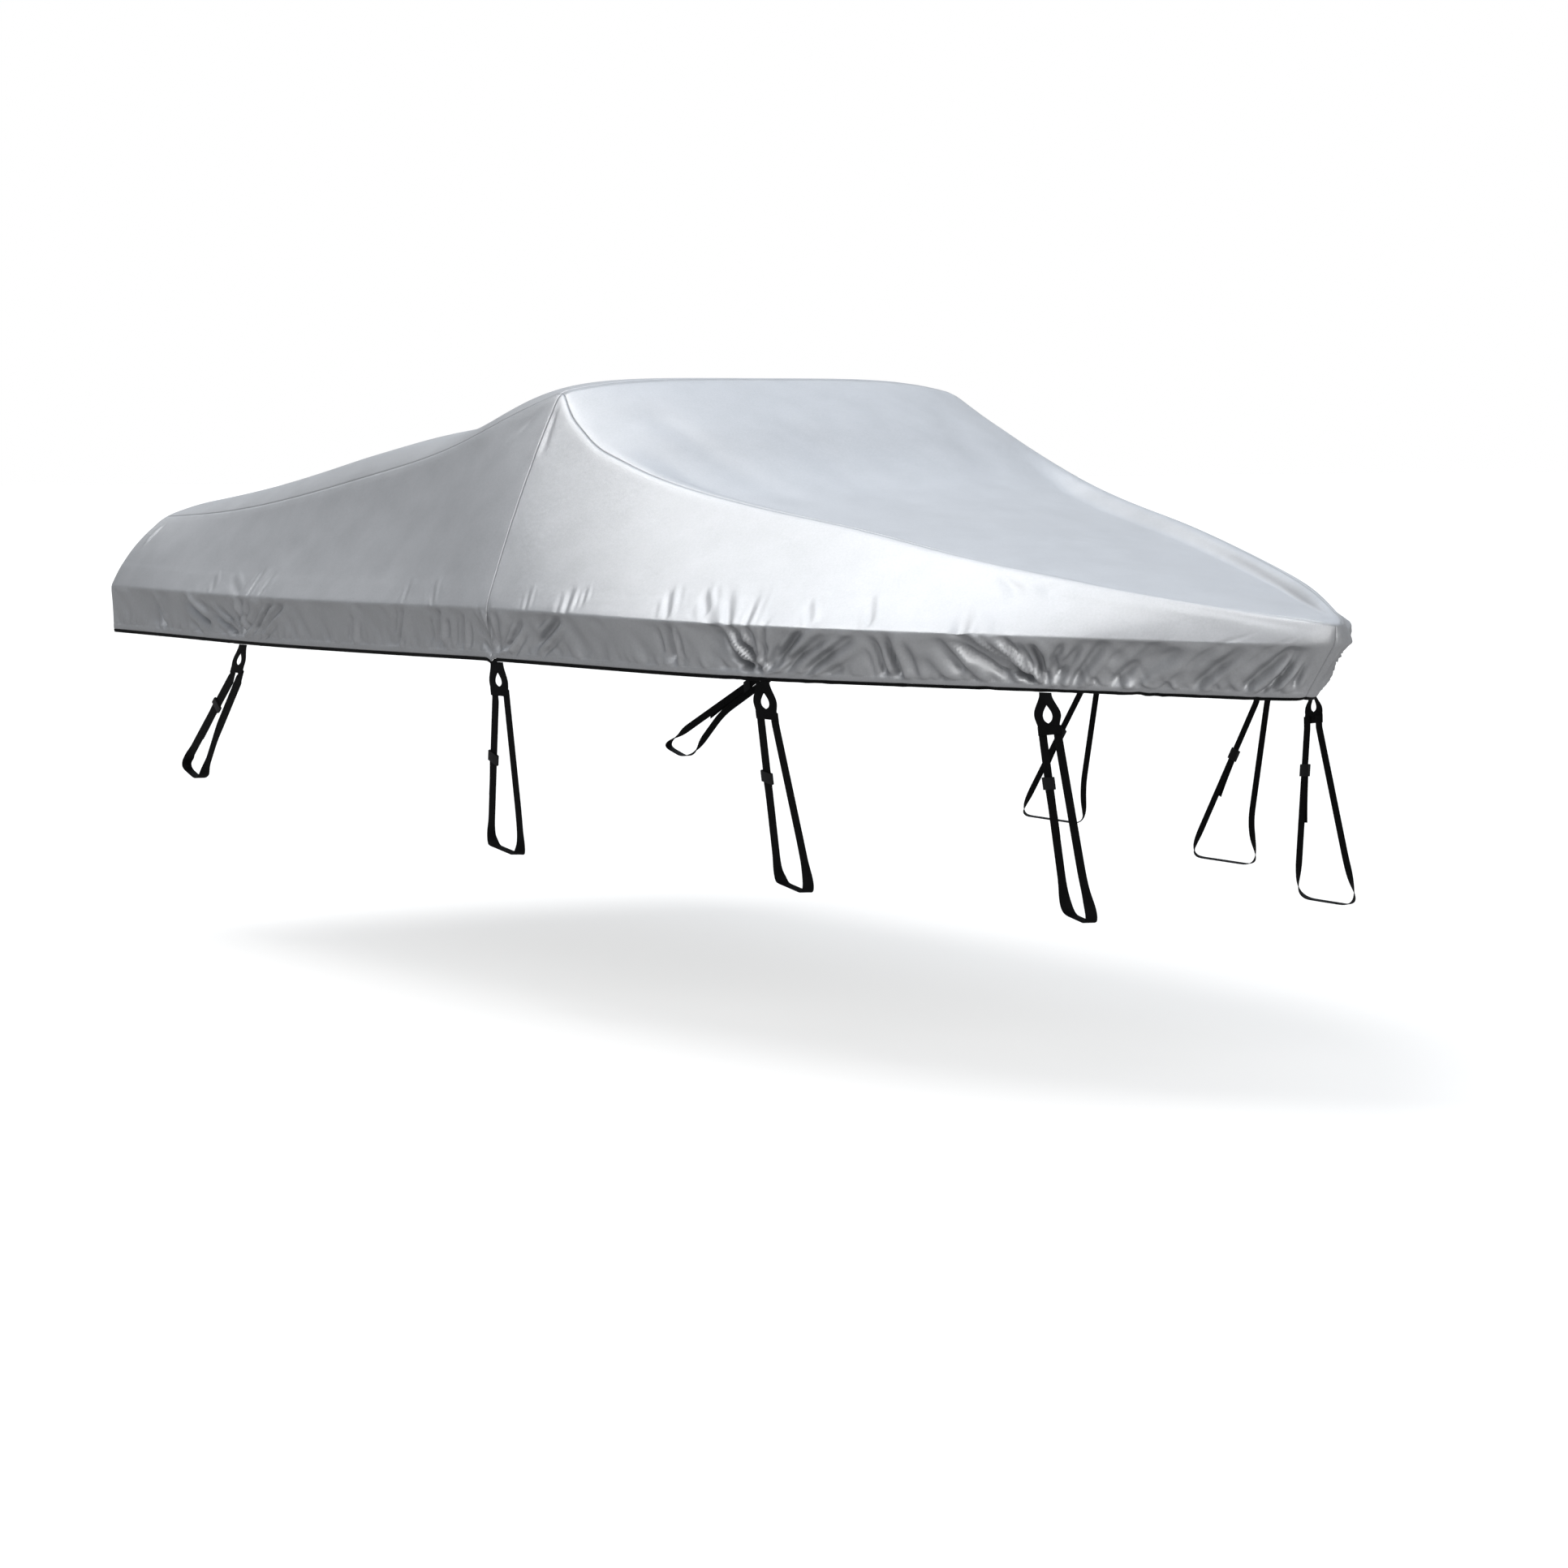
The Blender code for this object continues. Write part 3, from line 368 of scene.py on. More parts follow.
LINES = {
    **curves_of(FOLD_LINE, Curve, "fold_x", "fold_half", "fold_z"),
    **curves_of(HEM_LINE, Curve, "hem_x", "hem_half"),
    **curves_of(RIDGE_LINE, PeakCurve, "ridge_x", "ridge_half", "ridge_z", "crown", "power", "lead"),
    **curves_of(SIDE_BULGE, Curve, "bulge"),
}

STERN_HALF = float(LINES["fold_half"](0.0))


def smooth(x):
    """Ease from 0 to 1 as x goes from 0 to 1."""
    x = np.clip(x, 0.0, 1.0)
    return x * x * (3.0 - 2.0 * x)


def unit(v):
    """Vectors at length one."""
    v = np.asarray(v, dtype=float)
    return v / np.maximum(np.linalg.norm(v, axis=-1, keepdims=True), 1e-12)


def squared(v, way):
    """The vector at length one, with its part along the way taken out."""
    return unit(v - way * float(np.dot(v, way)))


def scaled(points, factors):
    """Points or vectors times one factor each."""
    return points * np.asarray(factors)[..., None]


def side_sign(share):
    """-1 on the starboard half and 1 on the port half."""
    return np.where(share < 0.0, -1.0, 1.0)


def lengths_along(path):
    """Lengths along a path from its first point."""
    return np.concatenate(([0.0], np.cumsum(np.linalg.norm(np.diff(path, axis=0), axis=1))))


def points_of(x, y, z):
    """Stack coordinates into an array of points."""
    return np.stack(np.broadcast_arrays(x, y, z), axis=-1).astype(float)


def line_point(line, station):
    """Points of the fold line or the ridge seam, on the port side."""
    return points_of(*(LINES[line + part](station) for part in ("_x", "_half", "_z")))


def hem_point(station):
    """Points of the hem, on the port side."""
    return points_of(LINES["hem_x"](station), LINES["hem_half"](station),
                     LINES["fold_z"](station) - SKIRT_DEPTH)


RUN_STATIONS = np.linspace(0.0, LAST_STATION, 801)
RUN_LENGTHS = lengths_along(line_point("fold", RUN_STATIONS)[:, :2])


def run_of(station):
    """Metres along the fold line in plan from the stern to these stations."""
    return np.interp(station, RUN_STATIONS, RUN_LENGTHS)


def station_of(run):
    """Stations at these metres along the fold line."""
    return np.interp(run, RUN_LENGTHS, RUN_STATIONS)


def side_long(station):
    """Length of the side panel from the ridge down to the fold line."""
    return np.linalg.norm(line_point("fold", station) - line_point("ridge", station), axis=-1)


def skirt_long(station):
    """Length of the skirt from the fold line down to the hem."""
    return np.linalg.norm(hem_point(station) - line_point("fold", station), axis=-1)


def ridge_half(station):
    """Half width between the ridges, never quite nothing."""
    return np.maximum(LINES["ridge_half"](station), 1e-4)


def strokes(rows, a, b, lean=0.0):
    """Sum of the soft strokes of a fold table at the places (a, b)."""
    a, b = np.broadcast_arrays(np.asarray(a, float), np.asarray(b, float))
    total = np.zeros(a.shape)
    for a0, b0, a1, b1, width, height in rows:
        da = a1 - a0
        db = b1 - b0
        long = math.hypot(da, db)
        reach = 3.2 * width + 0.35 * long
        near = (a > min(a0, a1) - reach) & (a < max(a0, a1) + reach)
        near &= (b > min(b0, b1) - reach) & (b < max(b0, b1) + reach)
        pa = a[near] - a0
        pb = b[near] - b0
        t = (pa * da + pb * db) / (long * long)
        q = (pa * db - pb * da) / long / (width * (0.75 + 0.5 * np.clip(t, 0.0, 1.2)))
        along = smooth((t + 0.12) / 0.27) * smooth((1.15 - t) / 0.5)
        total[near] += height * along * (np.exp(-q * q) - lean * np.exp(-((q - 1.7) / 1.15) ** 2))
    return total


def grain(a, b, seed):
    """Smooth random heights from -1 to 1 over the plane, a lattice of one unit."""
    lattice = np.random.default_rng(seed).uniform(-1.0, 1.0, (128, 128))
    a, b = np.broadcast_arrays(np.asarray(a, float), np.asarray(b, float))
    ia = np.floor(a).astype(int)
    ib = np.floor(b).astype(int)
    fa = smooth(a - ia)
    fb = smooth(b - ib)
    low, high = (lattice[ia % 128, j % 128] * (1 - fa) + lattice[(ia + 1) % 128, j % 128] * fa
                 for j in (ib, ib + 1))
    return low * (1 - fb) + high * fb


def side_flat(station, down):
    """The unrolled side surface, port side, at these distances below the ridge."""
    station, down = np.broadcast_arrays(station, down)
    ridge = line_point("ridge", station)
    fold = line_point("fold", station)
    long = side_long(station)
    along = (line_point("fold", np.minimum(LAST_STATION, station + 0.01))
             - line_point("fold", np.maximum(0.0, station - 0.01)))
    along = np.where((station > 9.999)[..., None], np.array((0.0, -1.0, 0.0)), along)
    share = np.clip(down / long, 0.0, 1.0)
    belly = LINES["bulge"](station) * 4.0 * share * (1.0 - share)
    upper = ridge + scaled(fold - ridge, share) + scaled(unit(np.cross(along, fold - ridge)), belly)
    below = np.maximum(down - long, 0.0) / skirt_long(station)
    return upper + scaled(hem_point(station) - fold, below)


def top_flat(station, share):
    """The top surface; share is -1 at starboard and 1 at port."""
    station, share = np.broadcast_arrays(station, share)
    ridge = line_point("ridge", station)
    wide = np.abs(share)
    fore = smooth((station - 5.6) / 0.9) * smooth((9.95 - station) / 1.1)
    rim = np.maximum(RIM_SHARE, RIM_LEAST / np.maximum(ridge[..., 1], 0.02))
    sag = DECK_SAG * fore * smooth((1.0 - wide) / rim)
    x = ridge[..., 0] + LINES["lead"](station) * (1.0 - share * share)
    y = share * ridge[..., 1]
    z = ridge[..., 2] + LINES["crown"](station) * (1.0 - wide ** LINES["power"](station)) - sag
    free = smooth((1.0 - wide) / 0.12) * smooth(station / 0.3)
    free = free * smooth(np.abs(station - PEAK_STATION) / 0.12)
    return points_of(x, y, z + free * strokes(DECK_FOLDS, x, y))


def cornered(shape, distance, reach, inside, corner, beyond, mirror=1.0):
    """The shape, with a corner rounded where the distance to it is less than the reach."""
    t = 0.5 + 0.5 * np.clip(distance / reach, -1.0, 1.0)
    over = scaled(beyond, (1.0 - t) ** 2) + scaled(corner, 2.0 * t * (1.0 - t)) + scaled(inside, t * t)
    over[..., 1] = over[..., 1] * mirror
    return np.where((np.abs(distance) < reach)[..., None], over, shape)


def ridge_roll(station):
    """How far from the ridge the cloth starts to roll over it."""
    small = np.minimum(0.3 * side_long(station), 0.3 * LINES["ridge_half"](station))
    return np.clip(np.minimum(RIDGE_ROLL, small), 1e-5, None)


def over_ridge(station):
    """Reach of the roll over the ridge, and the side, the ridge and the top that it joins."""
    roll = ridge_roll(station)
    return (roll, side_flat(station, roll), line_point("ridge", station),
            top_flat(station, 1.0 - roll / ridge_half(station)))


def side_rolled(station, down):
    """The side surface with the ridge and the fold line rounded, port side."""
    station, down = np.broadcast_arrays(station, down)
    roll, side, ridge, top = over_ridge(station)
    shape = cornered(side_flat(station, down), down, roll, side, ridge, top)
    long = side_long(station)
    roll = np.minimum(FOLD_ROLL, 0.15 * long)
    return cornered(shape, down - long, roll, side_flat(station, long + roll),
                    line_point("fold", station), side_flat(station, long - roll))


def top_rolled(station, share):
    """The top surface with its edges rolled over the ridge."""
    station, share = np.broadcast_arrays(station, share)
    roll, side, ridge, top = over_ridge(station)
    return cornered(top_flat(station, share), (1.0 - np.abs(share)) * ridge_half(station), roll,
                    top, ridge, side, side_sign(share))


def past_peak(surface, station, other):
    """The surface with its sharp fold at the peak rounded."""
    station, other = np.broadcast_arrays(station, other)
    reach = np.where(station < PEAK_STATION, PEAK_ROLL_AFT, PEAK_ROLL_FORE)
    here = np.full(station.shape, PEAK_STATION)
    return cornered(surface(station, other), station - PEAK_STATION, reach,
                    surface(here + PEAK_ROLL_FORE, other), surface(here, other),
                    surface(here - PEAK_ROLL_AFT, other))


def stern_plain(share, down):
    """The stern surface before its upper edge follows the rolled end of the top."""
    corner = side_rolled(np.zeros(share.shape), down)
    drop = np.clip(down / side_long(0.0), 0.0, 1.0)
    bow = STERN_BOW * (1.0 - share * share) * np.sin(0.5 * math.pi * drop)
    rise = LINES["crown"](0.0) * (1.0 - np.abs(share) ** LINES["power"](0.0)) * (1.0 - drop)
    return points_of(corner[..., 0] - bow, share * corner[..., 1], corner[..., 2] + rise)


def stern_flat(share, down):
    """The stern surface; share is across and down is the distance below the ridge."""
    share, down = np.broadcast_arrays(share, down)
    zero = np.zeros(share.shape)
    lift = top_rolled(zero, share) - stern_plain(share, zero)
    return stern_plain(share, down) + scaled(lift, 1.0 - smooth(down / 0.12))


def corner_reach(distance):
    """How far the stern corner is rounded, at this distance from the ridge end."""
    return CORNER_ROLL * smooth(distance / 0.07) + 1e-6


def top_corner_reach(share):
    """How far the stern end of the top is rounded, at this share across."""
    return corner_reach((1.0 - np.abs(share)) * LINES["ridge_half"](0.0))


def side_shape(station, down):
    """The side surface before its folds, port side, with every corner rounded."""
    station, down = np.broadcast_arrays(station, down)
    reach = corner_reach(down)
    return cornered(past_peak(side_rolled, station, down), run_of(station), reach,
                    side_rolled(station_of(reach), down), side_rolled(0.0 * station, down),
                    stern_flat(1.0 - reach / STERN_HALF, down))


def top_shape(station, share):
    """The top surface with every corner rounded."""
    station, share = np.broadcast_arrays(station, share)
    reach = top_corner_reach(share)
    return cornered(past_peak(top_rolled, station, share), run_of(station), reach,
                    top_rolled(station_of(reach), share), top_rolled(0.0 * station, share),
                    stern_flat(share, reach))


def stern_shape(share, down):
    """The stern surface with every corner rounded."""
    share, down = np.broadcast_arrays(share, down)
    zero = np.zeros(share.shape)
    reach = corner_reach(down)
    shape = cornered(stern_flat(share, down), (1.0 - np.abs(share)) * STERN_HALF, reach,
                     stern_flat(1.0 - reach / STERN_HALF, down), side_rolled(zero, down),
                     side_rolled(station_of(reach), down), side_sign(share))
    reach = top_corner_reach(share)
    return cornered(shape, down, reach, stern_flat(share, reach), top_rolled(zero, share),
                    top_rolled(station_of(reach), share))


# ---------------------------------------------------------------- folds of the cloth

def lesser_folds(rows, seed):
    """Fainter folds that go beside the listed ones."""
    chance = np.random.default_rng(seed)
    extra = []
    for a0, b0, a1, b1, width, height in rows:
        da = a1 - a0
        db = b1 - b0
        long = math.hypot(da, db)
        for step in (-1, 1):
            off = step * width * chance.uniform(2.0, 3.4) / long
            ends = (chance.uniform(0.0, 0.3), chance.uniform(0.7, 1.05))
            places = [value for t in ends for value in (a0 + da * t + db * off, b0 + db * t - da * off)]
            extra.append((*places, width * chance.uniform(0.5, 0.85), height * chance.uniform(0.25, 0.5)))
    return extra


def tab_station(strap):
    """The station where a strap hangs from the hem."""
    stations = np.linspace(0.0, 9.9, 1981)
    return float(np.interp(strap[1], LINES["hem_x"](stations), stations))


def fan_folds(seed):
    """Short folds that fan out from each strap tab and lean along the skirt."""
    chance = np.random.default_rng(seed)
    rows = []
    for strap in STRAP_ROWS:
        station = tab_station(strap)
        run = float(run_of(station))
        foot = float(LINES["fold_z"](station)) - SKIRT_DEPTH + 0.012
        strength = 0.7 + 0.5 * float(smooth((run - 2.5) / 1.5))
        for turn in FAN_TURNS:
            angle = turn + chance.uniform(-0.08, 0.08)
            start = chance.uniform(0.012, 0.03)
            stop = start + chance.uniform(0.07, 0.15)
            rows.append((run + start * math.sin(angle), foot + start * math.cos(angle),
                         run + stop * math.sin(angle), foot + stop * math.cos(angle),
                         chance.uniform(0.007, 0.011), FAN_HEIGHT * strength))
    return rows


def hem_band(below, above_hem):
    """How far the hem band stands proud, and how free the cloth above it is."""
    round_off = np.clip(1.0 - (above_hem / (0.5 * HEM_BAND) - 1.0) ** 2, 0.0, 1.0)
    hold = np.where(below > 0.0, 1.0 - 0.75 * smooth((0.024 - above_hem) / 0.016), 1.0)
    return settings().cloth.hem_roll * np.sqrt(round_off * (below > 0.0)), hold


def side_folds(station, down, side):
    """Height of the folds on a side panel, outward, at these places."""
    station, down = np.broadcast_arrays(station, down)
    sheet = settings().cloth
    place = side_flat(station, down)
    run = run_of(station)
    z = place[..., 2]
    below = down - side_long(station)
    skirt_deep = skirt_long(station)
    above_hem = np.maximum(skirt_deep - below, 0.0)
    seed, scale = SIDE_CHANCE[side]
    fore = smooth((run - 3.1) / 1.2)

    fine = strokes(lesser_folds(FOLDS_BY_TABS, seed), run, z, 0.4) + strokes(fan_folds(seed + 1), run, z, 0.5)
    skirt = smooth(below / 0.02) * smooth((above_hem - 0.012) / 0.03)
    deep = np.where(below > 0.0, 1.0 + 1.9 * smooth(below / 0.03), 0.6)
    billow = 0.0055 * grain(run / 0.17, below / 0.2, seed + 2) * (0.6 + 0.6 * fore)
    wrinkle = 0.0046 * grain(run / 0.045 - below / 0.06, below / 0.10, seed + 3)
    placed = deep * (strokes(FOLDS_BY_TABS, run, z, 0.55) + fine) + skirt * (billow + wrinkle)
    height = scale * (sheet.fold_strength * placed + strokes(FOLDS_BY_RIDGE, run, z, 0.4))

    across = run + (0.5 * grain(run / 0.33, 0.0 * run, seed + 7) + 0.35) * above_hem
    pucker = (grain(across / 0.017, above_hem / 0.11, seed + 4)
              + 0.5 * grain(across / 0.031, above_hem / 0.08, seed + 5))
    tall = 0.034 + 0.014 * grain(run / 0.06, 0.0 * run, seed + 8)
    window = smooth((above_hem - 0.014) / 0.010) * np.exp(-((above_hem - 0.020) / tall) ** 2) * (below > 0.0)
    height = height + sheet.pucker_height * window * pucker * (0.8 + 0.4 * fore)
    height = height - sheet.skirt_cup * np.sin(math.pi * np.clip(below / skirt_deep, 0.0, 1.0))

    proud, hold = hem_band(below, above_hem)
    seam = run - run_of(PEAK_STATION)
    keep = np.where(below > -0.02, 1.0, 0.35 + 0.65 * smooth(np.abs(seam) / 0.02))
    pinch = smooth(place[..., 1] / 0.07) * smooth(run / 0.06)
    height = height * smooth((down - ridge_roll(station)) / 0.05) * hold * pinch * keep + proud
    band = (below > -BAND_ABOVE_FOLD) * (1.0 - smooth((run - 3.3) / 0.8))
    height = height + BAND_THICK * band * smooth(down / 0.05)
    felled = 0.0009 * np.exp(-((seam - 0.006) / 0.005) ** 2)
    slack = 0.0007 * np.exp(-(seam / 0.03) ** 2) * grain(down / 0.028, run / 0.05, seed + 6)
    height = height + (felled + slack) * smooth(down / 0.08)
    stem = np.exp(-(place[..., 1] / 0.012) ** 2) * smooth(down / 0.02) * (station > 9.0)
    return height - 0.0035 * stem


def grid_normals(points):
    """Unit normals of a grid of points, along the first way crossed with the second."""
    return unit(np.cross(np.gradient(points, axis=0), np.gradient(points, axis=1)))


def side_downs(station):
    """Distances below the ridge of the rows of a side panel, for each station."""
    long = side_long(station)
    roll = ridge_roll(station)
    turn = np.minimum(FOLD_ROLL, 0.15 * long)
    foot = long + skirt_long(station)
    # the place that each group of rows ends at, and how many rows are in the group
    groups = ((roll, 4), (long - turn, 34), (long - turn * 0.5, 1), (long, 1), (long + turn * 0.5, 1),
              (long + turn, 1), (foot - 0.052, 13), (foot - HEM_BAND, 9), (foot, 6))
    rows = [0.0 * roll]
    for stop, count in groups:
        start = rows[-1]
        rows += [start + (stop - start) * k / count for k in range(1, count)] + [stop]
    return np.stack(rows, axis=1)


def side_stations(spacing):
    """Stations of the columns of a side, with one on the side seam."""
    seam = float(run_of(PEAK_STATION))
    last = float(RUN_LENGTHS[-1])
    aft = np.linspace(0.0, seam, int(round(seam / spacing)) + 1)
    fore = np.linspace(seam, last, int(round((last - seam) / spacing)) + 1)
    return station_of(np.unique(np.concatenate((aft, CORNER_PLACES[1:-1], fore))))


def side_grid(side, spacing):
    """Points, normals and cloth coordinates of a whole side, stern to bow."""
    station = side_stations(spacing)
    down = side_downs(station)
    places = np.repeat(station[:, None], down.shape[1], axis=1)
    shape = side_shape(places, down)
    normal = grid_normals(shape)
    tip = np.abs(shape[..., 1]) < 1e-6
    normal[tip] = unit(normal[tip] * np.array((1.0, 0.0, 1.0)))
    shape = shape + scaled(normal, side_folds(places, down, side))
    mirror = np.array((1.0, side, 1.0))
    return station, shape * mirror, normal * mirror, np.stack((run_of(places), down), axis=-1)


def top_grid(spacing, across):
    """Points and cloth coordinates of the whole top, stern to bow."""
    station = side_stations(spacing)
    half = ridge_half(station)
    edge = ridge_roll(station) / half
    inner = int(across / 2)
    rows = [1.0 - edge * k / 4.0 for k in range(5)]
    rows += [(1.0 - edge) * (1.0 - k / inner) for k in range(1, inner + 1)]
    port = np.stack(rows, axis=1)
    share = np.concatenate((-port[:, :-1], port[:, ::-1]), axis=1)
    places = np.repeat(station[:, None], share.shape[1], axis=1)
    return station, top_shape(places, share), np.stack((run_of(places), share * half[:, None]), axis=-1)


def stern_grid(across):
    """Points, normals and cloth coordinates of the stern panel."""
    edge = CORNER_PLACES / STERN_HALF
    port = np.concatenate((1.0 - edge[:-1], np.linspace(1.0 - edge[-1], 0.0, int(across / 2))))
    share = np.concatenate((-port[:-1], port[::-1]))
    wide, deep = np.meshgrid(share, side_downs(np.array((0.0,)))[0], indexing="ij")
    shape = stern_shape(wide, deep)
    normal = grid_normals(shape)
    below = deep - float(side_long(0.0))
    above_hem = np.maximum(float(skirt_long(0.0)) - below, 0.0)
    y = wide * STERN_HALF
    free = smooth((1.0 - np.abs(wide)) / 0.06)
    hang = 0.0045 * grain(y / 0.22 + below / 0.5, below / 0.4, 71) * smooth(deep / 0.08)
    small = 0.0016 * grain(y / 0.05, below / 0.11, 72) * smooth(below / 0.02)
    pucker = grain(y / 0.018, above_hem / 0.05, 73) * np.exp(-((above_hem - 0.026) / 0.012) ** 2)
    proud, hold = hem_band(below, above_hem)
    gathers = settings().cloth.pucker_height * 0.8 * pucker * (below > 0.0)
    height = free * (hold * (hang + small) + gathers + BAND_THICK * (below > -BAND_ABOVE_FOLD)) + proud
    return shape + scaled(normal, height), normal, np.stack((y, deep), axis=-1)


# ---------------------------------------------------------------- making meshes

def bare_selection():
    """Deselect every object."""
    for item in list(bpy.context.selected_objects):
        item.select_set(False)


def active_only(item):
    """Make one object the selected and active one."""
    bare_selection()
    item.select_set(True)
    bpy.context.view_layer.objects.active = item


def apply_modifiers(item):
    """Apply every modifier of the object."""
    active_only(item)
    for modifier in list(item.modifiers):
        bpy.ops.object.modifier_apply(modifier=modifier.name)


def bevelled(item, width, segments, degrees):
    """Round the edges that are sharper than this angle."""
    bevel = item.modifiers.new("edges", "BEVEL")
    bevel.width = width
    bevel.segments = segments
    bevel.limit_method = "ANGLE"
    bevel.angle_limit = math.radians(degrees)
    apply_modifiers(item)


def linked(item):
    """Put an object in the scene."""
    bpy.context.scene.collection.objects.link(item)
    return item


def new_object(name, points, faces, places=None):
    """An object from points in the tables' frame, with its cloth coordinates as a UV map."""
    mesh = bpy.data.meshes.new(name)
    mesh.from_pydata((np.asarray(points, float) - ORIGIN).tolist(), [], faces)
    if places is not None:
        layer = mesh.uv_layers.new(name="cloth")
        corner = np.empty(len(mesh.loops), dtype=np.int64)
        mesh.loops.foreach_get("vertex_index", corner)
        layer.data.foreach_set("uv", np.asarray(places, float)[corner].ravel())
    mesh.update()
    return linked(bpy.data.objects.new(name, mesh))


def smoothed(item, degrees=None):
    """Smooth shading on every face, or between faces that meet at less than an angle."""
    item.data.polygons.foreach_set("use_smooth", np.ones(len(item.data.polygons), dtype=bool))
    item.data.update()
    if degrees:
        active_only(item)
        bpy.ops.object.shade_smooth_by_angle(angle=math.radians(degrees))


def changed(item, change):
    """Open the mesh of an object, change it and put it back."""
    edit = bmesh.new()
    edit.from_mesh(item.data)
    change(edit)
    edit.to_mesh(item.data)
    edit.free()
    item.data.update()


def merge_points(edit):
    """Merge the points that are in the same place."""
    bmesh.ops.remove_doubles(edit, verts=edit.verts[:], dist=1e-5)
    bmesh.ops.delete(edit, geom=[v for v in edit.verts if not v.link_faces], context="VERTS")


def face_outward(edit):
    """Make the faces of a closed body point outward."""
    bmesh.ops.recalc_face_normals(edit, faces=edit.faces[:])
    if edit.calc_volume(signed=True) < 0.0:
        bmesh.ops.reverse_faces(edit, faces=edit.faces[:])


def grid_faces(wide, deep, flip):
    """Quads of a grid of points."""
    i, j = np.meshgrid(np.arange(wide - 1), np.arange(deep - 1), indexing="ij")
    a = (i * deep + j).ravel()
    quads = np.stack((a, a + deep, a + deep + 1, a + 1), axis=1)
    return (quads[:, ::-1] if flip else quads).tolist()


def pulled_in(points, gap):
    """The grid with its four borders moved in by half of the seam gap."""
    points = points.copy()
    for turned in (points, points.transpose(1, 0, 2)):
        for edge, inner in ((0, 1), (-1, -2)):
            way = turned[inner] - turned[edge]
            turned[edge] += scaled(unit(way), np.minimum(gap, 0.3 * np.linalg.norm(way, axis=-1)))
    return points


def cloth_sheet(name, points, cloth, flip, bottom_open):
    """A finished sheet of cloth from a grid, with its real thickness on the inside."""
    wide, deep = points.shape[:2]
    hem = points[:, -1].copy()
    points = pulled_in(points, settings().cloth.seam_gap * 0.5)
    if bottom_open:
        points[1:-1, -1] = hem[1:-1]
    item = new_object(name + "_cloth", points.reshape(-1, 3), grid_faces(wide, deep, flip),
                      cloth.reshape(-1, 2))
    changed(item, merge_points)
    shell = item.modifiers.new("thickness", "SOLIDIFY")
    shell.thickness = settings().cloth.thickness
    shell.offset = -1.0
    shell.use_even_offset = False
    apply_modifiers(item)
    smoothed(item)
    finished(item, "cloth", [name])


def tube_body(sections):
    """Points and faces of a bar through sections with the same number of corners."""
    sections = np.asarray(sections, float)
    count, around = sections.shape[:2]
    faces = []
    for i in range(0, (count - 1) * around, around):
        for k in range(around):
            n = (k + 1) % around
            faces.append((i + k, i + n, i + around + n, i + around + k))
    faces.append(tuple(reversed(range(around))))
    faces.append(tuple(range((count - 1) * around, count * around)))
    return sections.reshape(-1, 3), faces


def finished(item, use, nodes):
    """Give a piece its material, its place on the part and the solids it stands for."""
    item.data.materials.clear()
    item.data.materials.append(material_for(use))
    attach(item, BODY)
    if nodes:
        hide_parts(*nodes)


def closed_piece(item, use, nodes, degrees=None):
    """Finish a closed body: faces outward, smooth shading and its material."""
    changed(item, face_outward)
    smoothed(item, degrees)
    finished(item, use, nodes)


# ---------------------------------------------------------------- materials

class Field:
    """A number that varies over a surface, written as plain sums and products."""

    def __init__(self, finish, socket):
        """Wrap a socket of the finish."""
        self.finish = finish
        self.socket = socket

    def combine(self, operation, first, second=0.0):
        """A Math node on two fields or numbers."""
        return self.finish.node("Math", {"operation": operation}, {0: first, 1: second})

    def __add__(self, other):
        """The sum of the field and another field or a number."""
        return self.combine("ADD", self, other)

    def __radd__(self, other):
        """The sum of a number and the field."""
        return self.combine("ADD", other, self)

    def __mul__(self, other):
        """The product of the field and another field or a number."""
        return self.combine("MULTIPLY", self, other)

    def sine(self):
        """The sine of the field."""
        return self.combine("SINE", self)


def set_stops(ramp, stops):
    """Fill a colour ramp; each stop is a place and a colour."""
    for place, colour in stops[1:-1]:
        ramp.elements.new(place)
    for element, (place, colour) in zip(ramp.elements, stops):
        element.position = place
        element.color = (*colour, 1.0)


